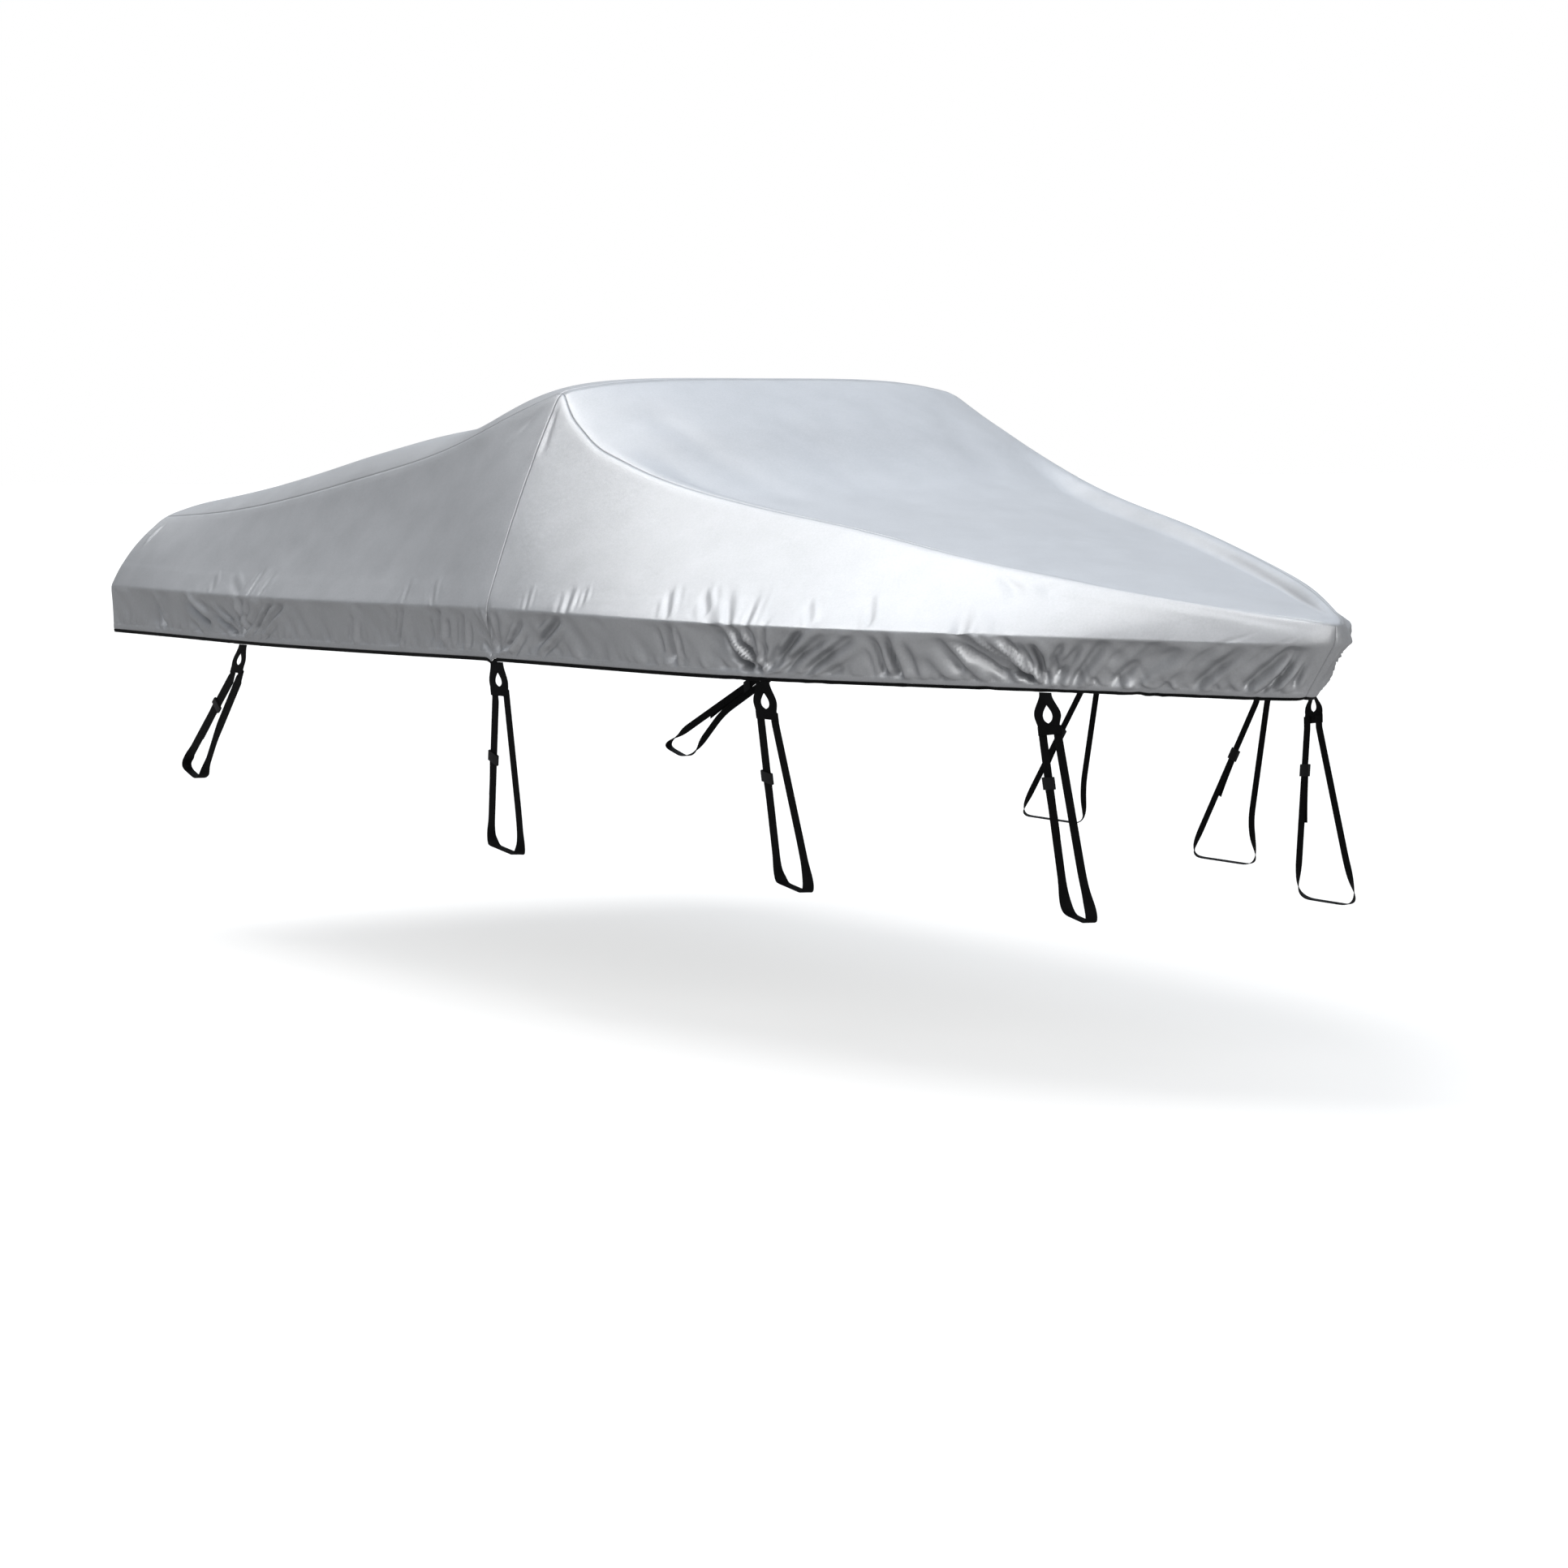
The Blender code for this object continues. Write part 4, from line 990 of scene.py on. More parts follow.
class Finish:
    """A procedural material under construction."""

    def __init__(self, name, shown):
        """Start with a bare Principled material and the object's coordinates in metres."""
        self.material = bpy.data.materials.new(name)
        self.material.use_nodes = True
        self.material.diffuse_color = (*shown, 1.0)
        self.tree = self.material.node_tree
        self.shader = self.tree.nodes["Principled BSDF"]
        self.places = self.node("TexCoord", output=3)

    def node(self, kind, values=None, inputs=None, output=0):
        """Add a node of this kind, set it up, and give back one of its outputs."""
        made = self.tree.nodes.new("ShaderNode" + kind)
        for key, value in (values or {}).items():
            setattr(made, key, value)
        for key, value in (inputs or {}).items():
            self.feed(made.inputs[key], value)
        return Field(self, made.outputs[output])

    def feed(self, socket, value):
        """Link a field to a socket, or set its value."""
        if isinstance(value, Field):
            self.tree.links.new(value.socket, socket)
        else:
            socket.default_value = value

    def ramp(self, field, stops):
        """A colour ramp on a field."""
        made = self.node("ValToRGB", inputs={0: field})
        set_stops(made.socket.node.color_ramp, stops)
        return made

    def weave(self, along_pitch, across_pitch):
        """Threads that cross, in the cloth's own coordinates, at these distances from thread to thread."""
        parts = self.tree.nodes.new("ShaderNodeSeparateXYZ")
        self.feed(parts.inputs[0], self.node("UVMap", {"uv_map": "cloth"}))
        warp, weft = ((Field(self, parts.outputs[k]) * (2.0 * math.pi / pitch)).sine()
                      for k, pitch in enumerate((along_pitch, across_pitch)))
        return warp * weft

    def noise(self, scale, detail=2.0, rough=0.5):
        """Soft random field from 0 to 1."""
        return self.node("TexNoise", {}, {"Vector": self.places, "Scale": scale, "Detail": detail,
                                          "Roughness": rough})

    def bump(self, height, distance, strength, **more):
        """Feed the Normal with bumps of this height in metres."""
        return self.node("Bump", {}, {"Height": height, "Distance": distance, "Strength": strength, **more})

    def done(self, **values):
        """Feed the shader's sockets and give back the material."""
        for key, value in values.items():
            self.feed(self.shader.inputs[key.replace("_", " ")], value)
        return self.material


def silver_cloth(name):
    """Silver-coated woven cloth: fine weave, soft mottling and a satin sheen."""
    look = settings().cloth
    finish = Finish(name, look.colour)
    mottle = finish.noise(9.0, 3.0, 0.55)
    speck = finish.noise(160.0, 2.0, 0.6)
    deep = tuple(c * 0.90 for c in look.colour)
    pale = tuple(min(1.0, c * 1.08) for c in look.colour)
    colour = finish.ramp(mottle * 0.5 + speck * 0.5, ((0.3, deep), (0.7, pale)))
    rough = look.roughness - 0.05 + mottle * 0.07 + speck * 0.04
    broad = finish.bump(finish.noise(55.0), 0.0012, 0.35)
    fine = finish.bump(finish.weave(look.weave_pitch, look.weave_pitch), 0.00012, 0.5, Normal=broad)
    return finish.done(Base_Color=colour, Roughness=rough, Metallic=look.metallic, Normal=fine)


def sewing_thread(name):
    """Light grey sewing thread with a twist."""
    finish = Finish(name, (0.55, 0.56, 0.58))
    twist = finish.noise(900.0, 1.0)
    colour = finish.ramp(twist, ((0.3, (0.46, 0.47, 0.49)), (0.7, (0.66, 0.67, 0.69))))
    return finish.done(Base_Color=colour, Roughness=0.6, Normal=finish.bump(twist, 0.0002, 0.5))


def woven_tape(name, rib_pitch, rough):
    """Black woven tape with ribs along it and a slight dusty wear."""
    shade = settings().webbing.colour
    finish = Finish(name, shade)
    weave = finish.weave(0.0016, rib_pitch)
    dust = finish.noise(30.0, 3.0, 0.6)
    light = tuple(c * 2.0 + 0.001 for c in shade)
    colour = finish.ramp(dust * 0.7 + weave * 0.12 + 0.1, ((0.3, shade), (0.75, light)))
    return finish.done(Base_Color=colour, Roughness=rough + dust * 0.12, Specular_IOR_Level=0.08,
                       Normal=finish.bump(weave, 0.0003, 0.6))


def moulded_plastic(name):
    """Black moulded plastic with a fine spark-eroded texture."""
    finish = Finish(name, (0.005, 0.005, 0.0055))
    grainy = finish.noise(1400.0, 2.0, 0.6)
    scuff = finish.noise(60.0, 3.0, 0.6)
    colour = finish.ramp(scuff, ((0.35, (0.004, 0.004, 0.0045)), (0.8, (0.010, 0.010, 0.011))))
    return finish.done(Base_Color=colour, Roughness=0.44 + scuff * 0.16, Specular_IOR_Level=0.2,
                       Normal=finish.bump(grainy, 0.0002, 0.35))


def pale_floor(name):
    """Plain pale floor."""
    finish = Finish(name, (0.9, 0.9, 0.89))
    colour = finish.ramp(finish.noise(0.8), ((0.3, (0.39, 0.39, 0.388)), (0.7, (0.41, 0.41, 0.408))))
    return finish.done(Base_Color=colour, Roughness=0.9, Emission_Color=(1.0, 1.0, 0.995, 1.0),
                       Emission_Strength=0.6)


MATERIALS = {
    # what it is for: name of the material, how it is made and what that is told
    "cloth": ("satin_silver_cloth", silver_cloth),
    "thread": ("grey_sewing_thread", sewing_thread),
    "webbing": ("ribbed_black_webbing", woven_tape, 0.0032, 0.62),
    "binding": ("black_binding_tape", woven_tape, 0.0020, 0.55),
    "slide": ("moulded_black_plastic", moulded_plastic),
    "floor": ("plain_pale_floor", pale_floor),
}
MADE = {}


def material_for(use):
    """The material for this use, made the first time that it is asked for."""
    if use not in MADE:
        name, make, *told = MATERIALS[use]
        MADE[use] = make(name, *told)
    return MADE[use]


# ---------------------------------------------------------------- webbing

def mirrored(points):
    """The points on the other side."""
    return np.asarray(points) * np.array((1.0, -1.0, 1.0))


def strap_frame(row):
    """Top of a hanger, hem direction, bar direction, hanging direction and drop."""
    station = tab_station(row)
    edge = hem_point(station)
    along = unit(mirrored(hem_point(station + 0.05) - hem_point(station - 0.05)))
    down = unit(mirrored(edge - line_point("fold", station)))
    outward = unit(np.cross(down, along))
    foot = mirrored(edge) - outward * 0.5 * CLOTH_SOLID + down * (BINDING_GAP + BINDING_TALL)
    lean = abs(float(np.dot(outward, unit(np.array(row[2]) - foot))))
    here = foot + down * (HANGER_GAP + 0.6 * HANGER_THICK * lean)
    hang = np.array(row[2]) - here
    drop = float(np.linalg.norm(hang))
    hang = hang / drop
    bar_along = along + row[9] * (np.array((1.0, 0.0, along[2])) - along)
    bar_along = unit(bar_along - hang * (row[10] * float(np.dot(bar_along, hang))))
    return here, along, bar_along, hang, drop


def on_path(wanted, lengths, values):
    """Values at the wanted lengths, between the ones given along a path."""
    return np.stack([np.interp(wanted, lengths, column) for column in values.T], axis=1)


def softened(rows, count):
    """More points along a line of rows, with its corners eased."""
    rows = np.array(rows, dtype=float)
    lengths = lengths_along(rows * np.array((0.6, 1.0)))
    line = on_path(np.linspace(0.0, lengths[-1], count), lengths, rows)
    for again in range(3):
        line[1:-1] = 0.25 * line[:-2] + 0.5 * line[1:-1] + 0.25 * line[2:]
    return line.tolist()


def hanger_body(row):
    """Points and faces of the webbing plate with its eye and its cross bar."""
    here, along, bar_along, hang, drop = strap_frame(row)
    right = [(share, row[8] + (BAR_HALF - row[8]) * spread) for share, spread in HANGER_OUTLINE]
    right = softened(right[:CURVED_ROWS], 22) + right[CURVED_ROWS:]
    outline = right + [(share, -half) for share, half in reversed(right)]
    eye = softened(HANGER_EYE, 17)
    eye += [(share, -half) for share, half in reversed(eye[1:-1])]
    triangles = tessellate_polygon([[Vector((half, share * drop, 0.0)) for share, half in loop]
                                    for loop in (outline, eye)])
    front = []
    back = []
    for share, half in outline + eye:
        wide = unit(along + float(smooth(share / 0.8)) * (bar_along - along))
        middle = here + wide * half + hang * (share * drop)
        thick = unit(np.cross(wide, hang)) * 0.5 * HANGER_THICK
        front.append(middle + thick)
        back.append(middle - thick)
    count = len(front)
    faces = []
    for triangle in triangles:
        faces.append(tuple(triangle))
        faces.append(tuple(i + count for i in reversed(triangle)))
    first = 0
    for size in (len(outline), len(eye)):
        for i in range(size):
            a = first + i
            b = first + (i + 1) % size
            faces.append((a, b, b + count, a + count))
        first += size
    spots = [(share * drop, half) for share, half in outline + eye]
    return np.array(front + back), faces, np.array(spots + spots)


def straight_between(start, finish, spacing):
    """Points after start, up to finish, no further apart than the spacing."""
    count = max(1, int(math.ceil(float(np.linalg.norm(finish - start)) / spacing)))
    return [start + (finish - start) * k / count for k in range(1, count + 1)]


def rounded_path(corners, reaches, spacing):
    """Points along a line of corners with each inner corner rounded."""
    points = [corners[0]]
    for before, corner, after, reach in zip(corners, corners[1:], corners[2:], reaches):
        start = corner + unit(before - corner) * reach
        finish = corner + unit(after - corner) * reach
        points += straight_between(points[-1], start, spacing)
        turns = max(5, int(math.ceil(reach / 0.006)))
        for k in range(1, turns + 1):
            t = k / turns
            points.append((1 - t) ** 2 * start + 2 * t * (1 - t) * corner + t * t * finish)
    return np.array(points + straight_between(points[-1], corners[-1], spacing))


def strap_corners(row):
    """The corners of the strap path, from the fore lap round to the aft lap."""
    here, along, bar_along, hang, drop = strap_frame(row)
    normal = unit(np.cross(bar_along, hang))
    inboard = normal if normal[1] > 0 else -normal
    bar = here + hang * drop + inboard * (0.5 * HANGER_THICK + LAP_GAP + 0.5 * WEB_THICK)
    fore = bar + bar_along * RUN_APART
    aft = bar - bar_along * RUN_APART
    slant = abs(float(np.dot(bar_along, hang)))
    clear = hang * (0.012 + 0.5 * WEB_WIDE * slant / math.sqrt(1.0 - slant * slant))
    return [fore - hang * LAP_LONG, fore + clear, *np.array(row[3:6]), aft + clear, aft - hang * LAP_LONG]


def web_section():
    """Corners of the webbing's section as (across, through) pairs: flat faces and round edges."""
    half = 0.5 * WEB_WIDE
    deep = 0.5 * WEB_THICK
    edge = 0.35 * WEB_THICK
    corners = ((half - edge, deep), (0.5 * half, deep * 0.96), (-0.5 * half, deep * 0.96),
               (-half + edge, deep), (-half, 0.45 * deep), (-half, -0.45 * deep))
    return corners + tuple((-across, -through) for across, through in corners)


def web_along(path, wides, thicks):
    """A ribbon of webbing along a path, with its own coordinates."""
    profile = web_section()
    sections = []
    spots = []
    for point, wide, thick, length in zip(path, wides, thicks, lengths_along(path)):
        sections.append([point + wide * a + thick * b for a, b in profile])
        spots += [(length, a + b) for a, b in profile]
    points, faces = tube_body(sections)
    return points, faces, np.array(spots)


def strap_body(row):
    """The webbing loop that hangs from the cross bar and turns flat at its foot."""
    path = rounded_path(strap_corners(row), STRAP_BENDS, 0.018)
    lengths = lengths_along(path)
    bar_along = strap_frame(row)[2]
    fore, aft = np.array(row[4:6])
    nearest = int(np.argmin(np.linalg.norm(path - 0.5 * (fore + aft), axis=1)))
    half_foot = 0.5 * float(np.linalg.norm(fore - aft))
    across = unit(np.array((aft[1] - fore[1], fore[0] - aft[0], 0.0)))
    across = across if across[1] > 0 else -across
    wides = []
    thicks = []
    for way, length in zip(unit(np.gradient(path, axis=0)), lengths):
        away = abs(float(length - lengths[nearest]))
        nearness = 1.0 - float(smooth((away - 0.35 * half_foot) / 0.15))
        wide = squared((1.0 - nearness) * bar_along + nearness * across, way)
        wides.append(wide)
        thicks.append(unit(np.cross(way, wide)))
    return web_along(path, wides, thicks)


def aft_run_frame(row, share):
    """Centre, travel, width and outward directions on the aft run."""
    foot, top = strap_corners(row)[4:6]
    way = unit(foot - top)
    wide = squared(strap_frame(row)[2], way)
    out = unit(np.cross(way, wide))
    return top + (foot - top) * share, way, wide, -out if out[1] > 0 else out


def tail_body(row):
    """The doubled end of webbing that lies on the aft run below the slide."""
    path = []
    start = row[6] - 0.035
    for t in np.linspace(0.0, 1.0, 15):
        centre, way, wide, out = aft_run_frame(row, start + (row[7] - start) * t)
        lift = WEB_THICK + TAIL_GAP + 0.006 * max(0.0, t - 0.3) ** 2
        path.append(centre + out * lift + wide * TAIL_SKEW * max(0.0, t - 0.12))
    return web_along(np.array(path), [wide] * len(path), [out] * len(path))


def web_pieces(kind, ending, body, row, bevel=0.0):
    """The finished pieces of webbing of one strap, on both sides."""
    points, faces, spots = body
    for side, word in SIDES:
        name = kind + "_" + word + "_" + str(row[0])
        if side > 0:
            points = mirrored(points)
            faces = [tuple(reversed(face)) for face in faces]
        item = new_object(name + ending, points, faces, spots)
        changed(item, face_outward)
        if bevel:
            bevelled(item, bevel, 2, 50.0)
        smoothed(item, 40.0)
        finished(item, "webbing", [name])


# ---------------------------------------------------------------- stitches and binding

def stitch_row(path, normals):
    """Points and faces of a row of stitches along a path on the cloth."""
    lengths = lengths_along(path)
    centres = np.arange(STITCH_PITCH, lengths[-1] - STITCH_PITCH, STITCH_PITCH)
    before, centre, after = (on_path(centres + step * STITCH_LONG, lengths, path)
                             for step in (-0.5, 0.0, 0.5))
    normal = unit(on_path(centres, lengths, normals))
    side = unit(np.cross(normal, unit(after - before))) * STITCH_WIDE * 0.5
    points = []
    faces = []
    for c, a, b, n, w in zip(centre, before, after, normal, side):
        base = len(points)
        points += [a - n * 0.0003, c + w, c + n * STITCH_PROUD, c - w, c - n * 0.0004, b - n * 0.0003]
        for k in range(1, 5):
            m = k % 4 + 1
            faces.append((base, base + m, base + k))
            faces.append((base + 5, base + k, base + m))
    return points, faces


def stitches(word, points, normals, *picks):
    """One object with several rows of stitches, each along the picked places of a grid."""
    places = []
    faces = []
    for pick in picks:
        made, joined = stitch_row(points[pick], normals[pick])
        shift = len(places)
        places += made
        faces += [tuple(i + shift for i in face) for face in joined]
    closed_piece(new_object("stitches_" + word, places, faces), "thread", [])


def binding_profile():
    """Corners of the binding's section as (across, down) pairs: an upright bar with round corners."""
    turns = [2.0 * math.pi * k / 12 for k in range(12)]
    rounds = [[math.copysign(abs(value) ** 0.55, value) for value in (math.cos(turn), math.sin(turn))]
              for turn in turns]
    return [(across * 0.5 * BINDING_THICK, fall * 0.5 * BINDING_TALL) for across, fall in rounds]


def binding_piece(word, points, normals):
    """The black tape along the lowest row of a grid."""
    profile = binding_profile()
    hem = points[:, -1]
    last = len(hem) - 1
    sections = []
    spots = []
    for i, length in enumerate(lengths_along(hem)):
        down = unit(hem[i] - points[i, BAND_ROW])
        normal = squared(normals[i, -1], down)
        centre = hem[i] - normal * 0.5 * CLOTH_SOLID + down * (BINDING_GAP + 0.5 * BINDING_TALL)
        if i in (0, last):
            along = hem[min(last, i + 1)] - hem[max(0, i - 1)]
            cut = np.cross(down, normal)
            inward = math.copysign(1.0, float(np.dot(cut, along))) * (1.0 if i == 0 else -1.0)
            centre = centre + cut * inward * BINDING_END_GAP
        sections.append([centre + normal * across + down * fall for across, fall in profile])
        spots += [(length, across + fall) for across, fall in profile]
    places, faces = tube_body(sections)
    item = new_object("binding_" + word + "_tape", places, faces, np.array(spots))
    closed_piece(item, "binding", ["binding_" + word])


# ---------------------------------------------------------------- settings

class ClothSettings(bpy.types.PropertyGroup):
    """Sizes and looks of the silver cloth."""

    thickness: bpy.props.FloatProperty(
        name="Thickness", description="Thickness of the cloth that shows at its edges",
        default=0.0011, min=0.0003, max=0.002, unit="LENGTH", precision=4)
    seam_gap: bpy.props.FloatProperty(
        name="Seam gap", description="Width of the open line along each seam",
        default=0.0001, min=0.0, max=0.003, unit="LENGTH", precision=4)
    fold_strength: bpy.props.FloatProperty(
        name="Fold strength", description="Depth of the folds against the ones placed by hand",
        default=1.2, min=0.0, max=3.0)
    pucker_height: bpy.props.FloatProperty(
        name="Pucker height", description="Height of the small gathers above the hem band",
        default=0.0055, min=0.0, max=0.008, unit="LENGTH", precision=4)
    skirt_cup: bpy.props.FloatProperty(
        name="Skirt cup", description="How far the skirt is drawn in between the fold line and the hem",
        default=0.005, min=0.0, max=0.02, unit="LENGTH", precision=4)
    hem_roll: bpy.props.FloatProperty(
        name="Hem roll", description="How far the hem band stands proud",
        default=0.0014, min=0.0, max=0.004, unit="LENGTH", precision=4)
    weave_pitch: bpy.props.FloatProperty(
        name="Weave pitch", description="Distance from thread to thread",
        default=0.0014, min=0.0005, max=0.005, unit="LENGTH", precision=4)
    colour: bpy.props.FloatVectorProperty(
        name="Cloth colour", description="Colour of the silver coating",
        subtype="COLOR", size=3, default=(0.42, 0.428, 0.442), min=0.0, max=1.0)
    roughness: bpy.props.FloatProperty(
        name="Roughness", description="How far the satin sheen spreads",
        subtype="FACTOR", default=0.42, min=0.0, max=1.0)
    metallic: bpy.props.FloatProperty(
        name="Metallic", description="How much of the sheen is that of a metal coating",
        subtype="FACTOR", default=0.55, min=0.0, max=1.0)


class WebbingSettings(bpy.types.PropertyGroup):
    """Looks of the webbing and the binding."""

    colour: bpy.props.FloatVectorProperty(
        name="Webbing colour", description="Colour of the black webbing and the binding",
        subtype="COLOR", size=3, default=(0.0020, 0.0020, 0.0022), min=0.0, max=1.0)
    plate_edge: bpy.props.FloatProperty(
        name="Plate edge", description="Rounding of the edges of the hanger plates",
        default=0.0006, min=0.0, max=0.001, unit="LENGTH", precision=4)


class StudioSettings(bpy.types.PropertyGroup):
    """Light of the studio."""

    key_strength: bpy.props.FloatProperty(
        name="Key light", description="Strength of the soft light from overhead",
        default=1.7, min=0.0, max=10.0)
    sky_strength: bpy.props.FloatProperty(
        name="Sky", description="Strength of the light from above",
        default=1.0, min=0.0, max=5.0)


class BoatCoverSettings(bpy.types.PropertyGroup):
    """All the settings of the cover."""

    cloth: bpy.props.PointerProperty(type=ClothSettings)
    webbing: bpy.props.PointerProperty(type=WebbingSettings)
    studio: bpy.props.PointerProperty(type=StudioSettings)


def settings():
    """The settings of the scene."""
    return bpy.context.scene.boat_cover


# ---------------------------------------------------------------- operators

# What one step tells the next: the column of the side seam, the points and the normals.
GRIDS = {}


def halves(cut):
    """The columns aft and before the side seam, both with the seam itself."""
    return (("aft", slice(0, cut + 1)), ("fore", slice(cut, None)))


def keep_grid(word, station, points, normals):
    """Keep a grid for the later steps and give back the column on the side seam."""
    cut = int(np.argmin(np.abs(station - PEAK_STATION)))
    GRIDS[word] = (cut, points, normals)
    return cut


class COVER_OT_side_panels(bpy.types.Operator):
    """Build the four side panels with their skirts"""

    bl_idname = "cover.side_panels"
    bl_label = "Side Panels"

    def execute(self, context):
        """Build both sides and cut each at the side seam."""
        for side, word in SIDES:
            station, points, normals, cloth = side_grid(side, SIDE_SPACING[side])
            for end, part in halves(keep_grid(word, station, points, normals)):
                cloth_sheet("side_" + end + "_" + word, points[part], cloth[part], side < 0, True)
        return {"FINISHED"}


class COVER_OT_top_panels(bpy.types.Operator):
    """Build the aft and the fore top panel"""

    bl_idname = "cover.top_panels"
    bl_label = "Top Panels"

    def execute(self, context):
        """Build the whole top and cut it at the peak."""
        station, points, cloth = top_grid(TOP_SPACING, TOP_ACROSS)
        for end, part in halves(keep_grid("top", station, points, grid_normals(points))):
            cloth_sheet("top_" + end, points[part], cloth[part], False, False)
        return {"FINISHED"}


class COVER_OT_stern_panel(bpy.types.Operator):
    """Build the stern panel with its skirt"""

    bl_idname = "cover.stern_panel"
    bl_label = "Stern Panel"

    def execute(self, context):
        """Build the stern sheet."""
        points, normals, cloth = stern_grid(STERN_ACROSS)
        GRIDS["stern"] = (0, points, normals)
        cloth_sheet("stern_panel", points, cloth, False, True)
        return {"FINISHED"}


class COVER_OT_hem_binding(bpy.types.Operator):
    """Sew the black binding along the hem"""

    bl_idname = "cover.hem_binding"
    bl_label = "Hem Binding"

    def execute(self, context):
        """Follow the lowest row of each side, every second column, and of the stern."""
        for word in ("stbd", "port"):
            cut, points, normals = GRIDS[word]
            pick = np.unique(np.append(np.arange(0, len(points), 2), len(points) - 1))
            binding_piece(word, points[pick], normals[pick])
        binding_piece("stern", *GRIDS["stern"][1:])
        return {"FINISHED"}


class COVER_OT_seam_stitches(bpy.types.Operator):
    """Lay the rows of stitches along the seams and the hem band"""

    bl_idname = "cover.seam_stitches"
    bl_label = "Seam Stitches"

    def execute(self, context):
        """One object of stitches for each side, one for the stern and one for the peak."""
        for word in ("stbd", "port"):
            cut, points, normals = GRIDS[word]
            stitches(word, points, normals, np.s_[2:-6, 3], np.s_[2:-2, HEM_STITCH_ROW], np.s_[cut + 1, 4:-8])
        cut, points, normals = GRIDS["stern"]
        stitches("stern", points, normals, np.s_[3:-3, HEM_STITCH_ROW])
        cut, points, normals = GRIDS["top"]
        stitches("peak", points, normals, np.s_[cut + 1, 5:-5])
        return {"FINISHED"}


class COVER_OT_hangers(bpy.types.Operator):
    """Build the eight hanger plates"""

    bl_idname = "cover.hangers"
    bl_label = "Hangers"

    def execute(self, context):
        """Build a plate for each strap on both sides."""
        for row in STRAP_ROWS:
            web_pieces("hanger", "_plate", hanger_body(row), row, settings().webbing.plate_edge)
        return {"FINISHED"}


class COVER_OT_strap_loops(bpy.types.Operator):
    """Build the eight strap loops and their doubled tails"""

    bl_idname = "cover.strap_loops"
    bl_label = "Strap Loops"

    def execute(self, context):
        """Build a loop and a tail for each strap on both sides."""
        for row in STRAP_ROWS:
            web_pieces("strap", "_web", strap_body(row), row)
            web_pieces("tail", "_web", tail_body(row), row)
        return {"FINISHED"}


class COVER_OT_slides(bpy.types.Operator):
    """Mould one slide and put a copy on every aft run"""

    bl_idname = "cover.slides"
    bl_label = "Slides"

    def execute(self, context):
        """Model the slide by hand, then place its copies."""
        pattern = slide_pattern()
        for row in STRAP_ROWS:
            centre, way, wide, out = aft_run_frame(row, row[6])
            place = centre + out * 0.5 * (WEB_THICK + TAIL_GAP) - ORIGIN
            for side, word in SIDES:
                name = "slide_" + word + "_" + str(row[0])
                place_slide(pattern, name, placed((wide, -out, way), place), side)
        bpy.data.objects.remove(pattern, do_unlink=True)
        return {"FINISHED"}


def placed(ways, place):
    """The matrix that turns x, y and z to these three ways and moves to the place."""
    turn = Matrix([(*way, 0.0) for way in ways] + [(0, 0, 0, 1)]).transposed()
    turn.translation = Vector(place)
    return turn


def slide_pattern():
    """One slide at the origin: a rounded ring that the webbing goes through."""
    bare_selection()
    bpy.ops.mesh.primitive_cube_add(size=1.0, location=(0.0, 0.0, 0.0))
    item = bpy.context.active_object
    item.name = "slide_pattern"
    item.scale = SLIDE_SIZE
    bpy.ops.object.transform_apply(location=False, rotation=False, scale=True)
    bpy.ops.object.mode_set(mode="EDIT")
    bpy.ops.mesh.select_all(action="DESELECT")
    edit = bmesh.from_edit_mesh(item.data)
    for face in edit.faces:
        face.select = abs(face.normal.z) > 0.9
    bmesh.update_edit_mesh(item.data)
    bpy.ops.mesh.inset(thickness=SLIDE_WALL, depth=0.0, use_individual=True)
    bpy.ops.transform.resize(value=(SLIDE_NARROWED, 1.0, 1.0), center_override=(0.0, 0.0, 0.0))
    bpy.ops.mesh.bridge_edge_loops()
    bpy.ops.object.mode_set(mode="OBJECT")
    bevelled(item, 0.0007, 3, 40.0)
    return item


def place_slide(pattern, name, turn, side):
    """Put a copy of the slide on a strap."""
    item = pattern.copy()
    item.data = pattern.data.copy()
    item.name = name + "_ring"
    item.data.name = item.name
    linked(item)
    item.data.transform(turn)
    if side > 0:
        item.data.transform(Matrix.Diagonal((1.0, -1.0, 1.0, 1.0)))
    closed_piece(item, "slide", [name], 35.0)


class COVER_OT_declare_cloth(bpy.types.Operator):
    """An empty step that leaves every sheet of cloth as it is"""

    bl_idname = "cover.declare_cloth"
    bl_label = "Declare Cloth"

    def execute(self, context):
        """Do nothing and finish."""
        return {"FINISHED"}


# ---------------------------------------------------------------- studio

FLOOR_Z = -1.864
CAMERA_PLACE = (12.635155, -8.257059, 0.129515)
CAMERA_YAW = 2.559248
CAMERA_PITCH = 0.090894
CAMERA_ROLL = 0.010037
CAMERA_FOCAL = 6044.242206
PHOTO_WIDE = 1932.0
SENSOR_WIDE = 36.0

LIGHTS = (
    # name, way that it comes from, spread in degrees, share of the key strength, colour
    ("key_light", (-0.42, -0.12, 0.90), 34.0, 1.0, (1.0, 0.99, 0.97)),
    ("cool_fill", (-0.50, 0.50, 0.70), 44.0, 0.36, (0.82, 0.90, 1.0)),
    ("bow_fill", (0.90, -0.10, 0.30), 26.0, 0.85, (1.0, 0.99, 0.97)),
    ("side_fill", (0.42, -0.62, 0.66), 34.0, 0.42, (1.0, 0.99, 0.98)),
)
SKY_STOPS = (
    # place from the floor up to overhead, colour
    (0.0, (0.46, 0.46, 0.465)),
    (0.25, (0.32, 0.325, 0.33)),
    (0.6, (0.34, 0.36, 0.39)),
    (1.0, (0.55, 0.59, 0.65)),
)


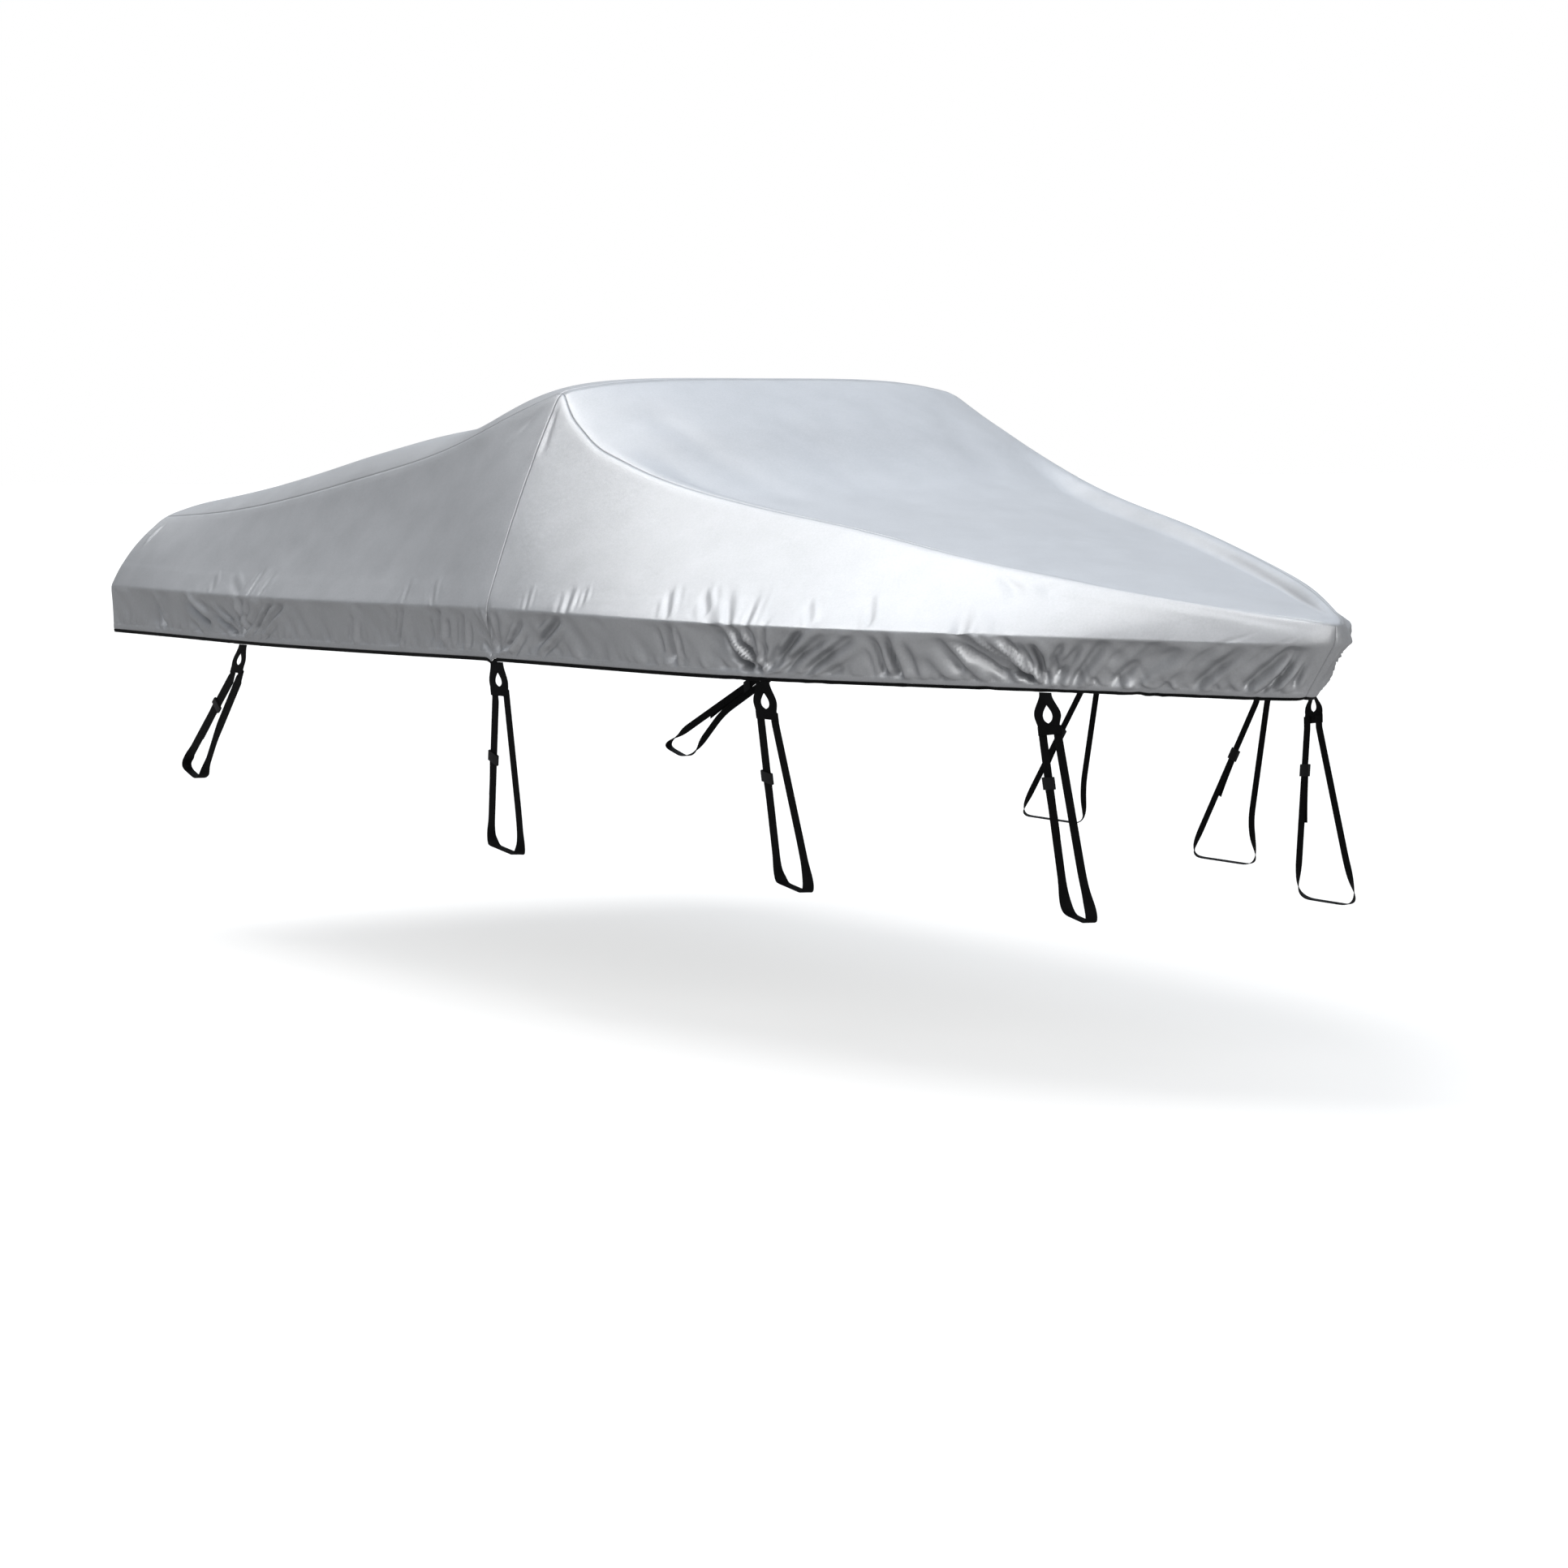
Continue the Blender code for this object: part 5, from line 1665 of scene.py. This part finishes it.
class COVER_OT_studio(bpy.types.Operator):
    """Set up the floor, the light and the camera"""

    bl_idname = "cover.studio"
    bl_label = "Studio"

    def execute(self, context):
        """Make the floor, the lights, the sky and the camera."""
        context.scene.view_settings.view_transform = "Standard"
        make_floor()
        make_lights()
        make_sky()
        make_camera()
        return {"FINISHED"}


def make_floor():
    """A plain pale floor."""
    bare_selection()
    bpy.ops.mesh.primitive_plane_add(size=1.0, location=(0.0, 0.0, 0.0))
    floor = bpy.context.active_object
    floor.name = "studio_floor"
    floor.data.transform(Matrix.Translation((0.0, 0.0, FLOOR_Z)) @ Matrix.Diagonal((90.0, 90.0, 1.0, 1.0)))
    floor.data.materials.append(material_for("floor"))
    floor.visible_diffuse = False
    floor.visible_glossy = False


def make_lights():
    """A soft key light from overhead, with weaker ones from port, the bow and the near side."""
    for name, towards, spread, share, colour in LIGHTS:
        light = bpy.data.lights.new(name, "SUN")
        light.energy = share * settings().studio.key_strength
        light.angle = math.radians(spread)
        light.color = colour
        item = linked(bpy.data.objects.new(name, light))
        item.matrix_world = Vector(towards).to_track_quat("Z", "Y").to_matrix().to_4x4()


def make_sky():
    """A soft sky that is pale above and grey at the horizon; it shows white behind the part."""
    world = bpy.data.worlds.new("studio_sky")
    bpy.context.scene.world = world
    world.use_nodes = True
    nodes = world.node_tree.nodes
    nodes.clear()
    place, split, ramp, spread, glow, white, seen, either, out = (
        nodes.new("ShaderNode" + kind) for kind in (
            "TexCoord", "SeparateXYZ", "ValToRGB", "MapRange", "Background", "Background",
            "LightPath", "MixShader", "OutputWorld"))
    spread.inputs["From Min"].default_value = -0.3
    spread.inputs["From Max"].default_value = 1.0
    set_stops(ramp.color_ramp, SKY_STOPS)
    glow.inputs["Strength"].default_value = settings().studio.sky_strength
    white.inputs["Color"].default_value = (1.0, 1.0, 1.0, 1.0)
    white.inputs["Strength"].default_value = 1.0
    for start, end in ((place.outputs["Generated"], split.inputs[0]),
                       (split.outputs["Z"], spread.inputs["Value"]),
                       (spread.outputs["Result"], ramp.inputs[0]),
                       (ramp.outputs[0], glow.inputs["Color"]),
                       (seen.outputs["Is Camera Ray"], either.inputs[0]),
                       (glow.outputs[0], either.inputs[1]),
                       (white.outputs[0], either.inputs[2]),
                       (either.outputs[0], out.inputs["Surface"])):
        world.node_tree.links.new(start, end)


def make_camera():
    """The camera at the photograph's viewing angle."""
    camera = bpy.data.cameras.new("studio_camera")
    camera.sensor_fit = "AUTO"
    camera.sensor_width = SENSOR_WIDE
    camera.lens = CAMERA_FOCAL * SENSOR_WIDE / PHOTO_WIDE
    camera.clip_end = 200.0
    item = linked(bpy.data.objects.new("studio_camera", camera))
    yaw, pitch, roll = CAMERA_YAW, CAMERA_PITCH, CAMERA_ROLL
    ahead = np.array((math.cos(yaw) * math.cos(pitch), math.sin(yaw) * math.cos(pitch), -math.sin(pitch)))
    level = np.array((math.sin(yaw), -math.cos(yaw), 0.0))
    lift = np.cross(level, ahead)
    right = math.cos(roll) * level + math.sin(roll) * lift
    up = -math.sin(roll) * level + math.cos(roll) * lift
    item.matrix_world = placed((right, up, -ahead), CAMERA_PLACE)
    bpy.context.scene.camera = item


# ---------------------------------------------------------------- panel and steps

class COVER_PT_panel(bpy.types.Panel):
    """The cover's settings and the steps that build it"""

    bl_label = "Boat Cover"
    bl_idname = "COVER_PT_panel"
    bl_space_type = "VIEW_3D"
    bl_region_type = "UI"
    bl_category = "Boat Cover"

    def draw(self, context):
        """List the settings and the operators."""
        cover = settings()
        for group in (cover.cloth, cover.webbing, cover.studio):
            box = self.layout.box()
            for name in group.bl_rna.properties.keys():
                if name not in ("rna_type", "name"):
                    box.prop(group, name)
        for operator in STEPS:
            self.layout.operator(operator.bl_idname)


STEPS = (
    COVER_OT_side_panels,
    COVER_OT_top_panels,
    COVER_OT_stern_panel,
    COVER_OT_hem_binding,
    COVER_OT_seam_stitches,
    COVER_OT_hangers,
    COVER_OT_strap_loops,
    COVER_OT_slides,
    COVER_OT_declare_cloth,
    COVER_OT_studio,
)
CLASSES = (ClothSettings, WebbingSettings, StudioSettings, BoatCoverSettings) + STEPS + (COVER_PT_panel,)


def register():
    """Register the classes and the scene's settings."""
    for item in CLASSES:
        bpy.utils.register_class(item)
    bpy.types.Scene.boat_cover = bpy.props.PointerProperty(type=BoatCoverSettings)


def unregister():
    """Take the classes and the settings away again."""
    del bpy.types.Scene.boat_cover
    for item in reversed(CLASSES):
        bpy.utils.unregister_class(item)


def main():
    """Register the classes and build every piece in order."""
    register()
    for step in STEPS:
        group, name = step.bl_idname.split(".")
        getattr(getattr(bpy.ops, group), name)()


if __name__ == "__main__":
    main()
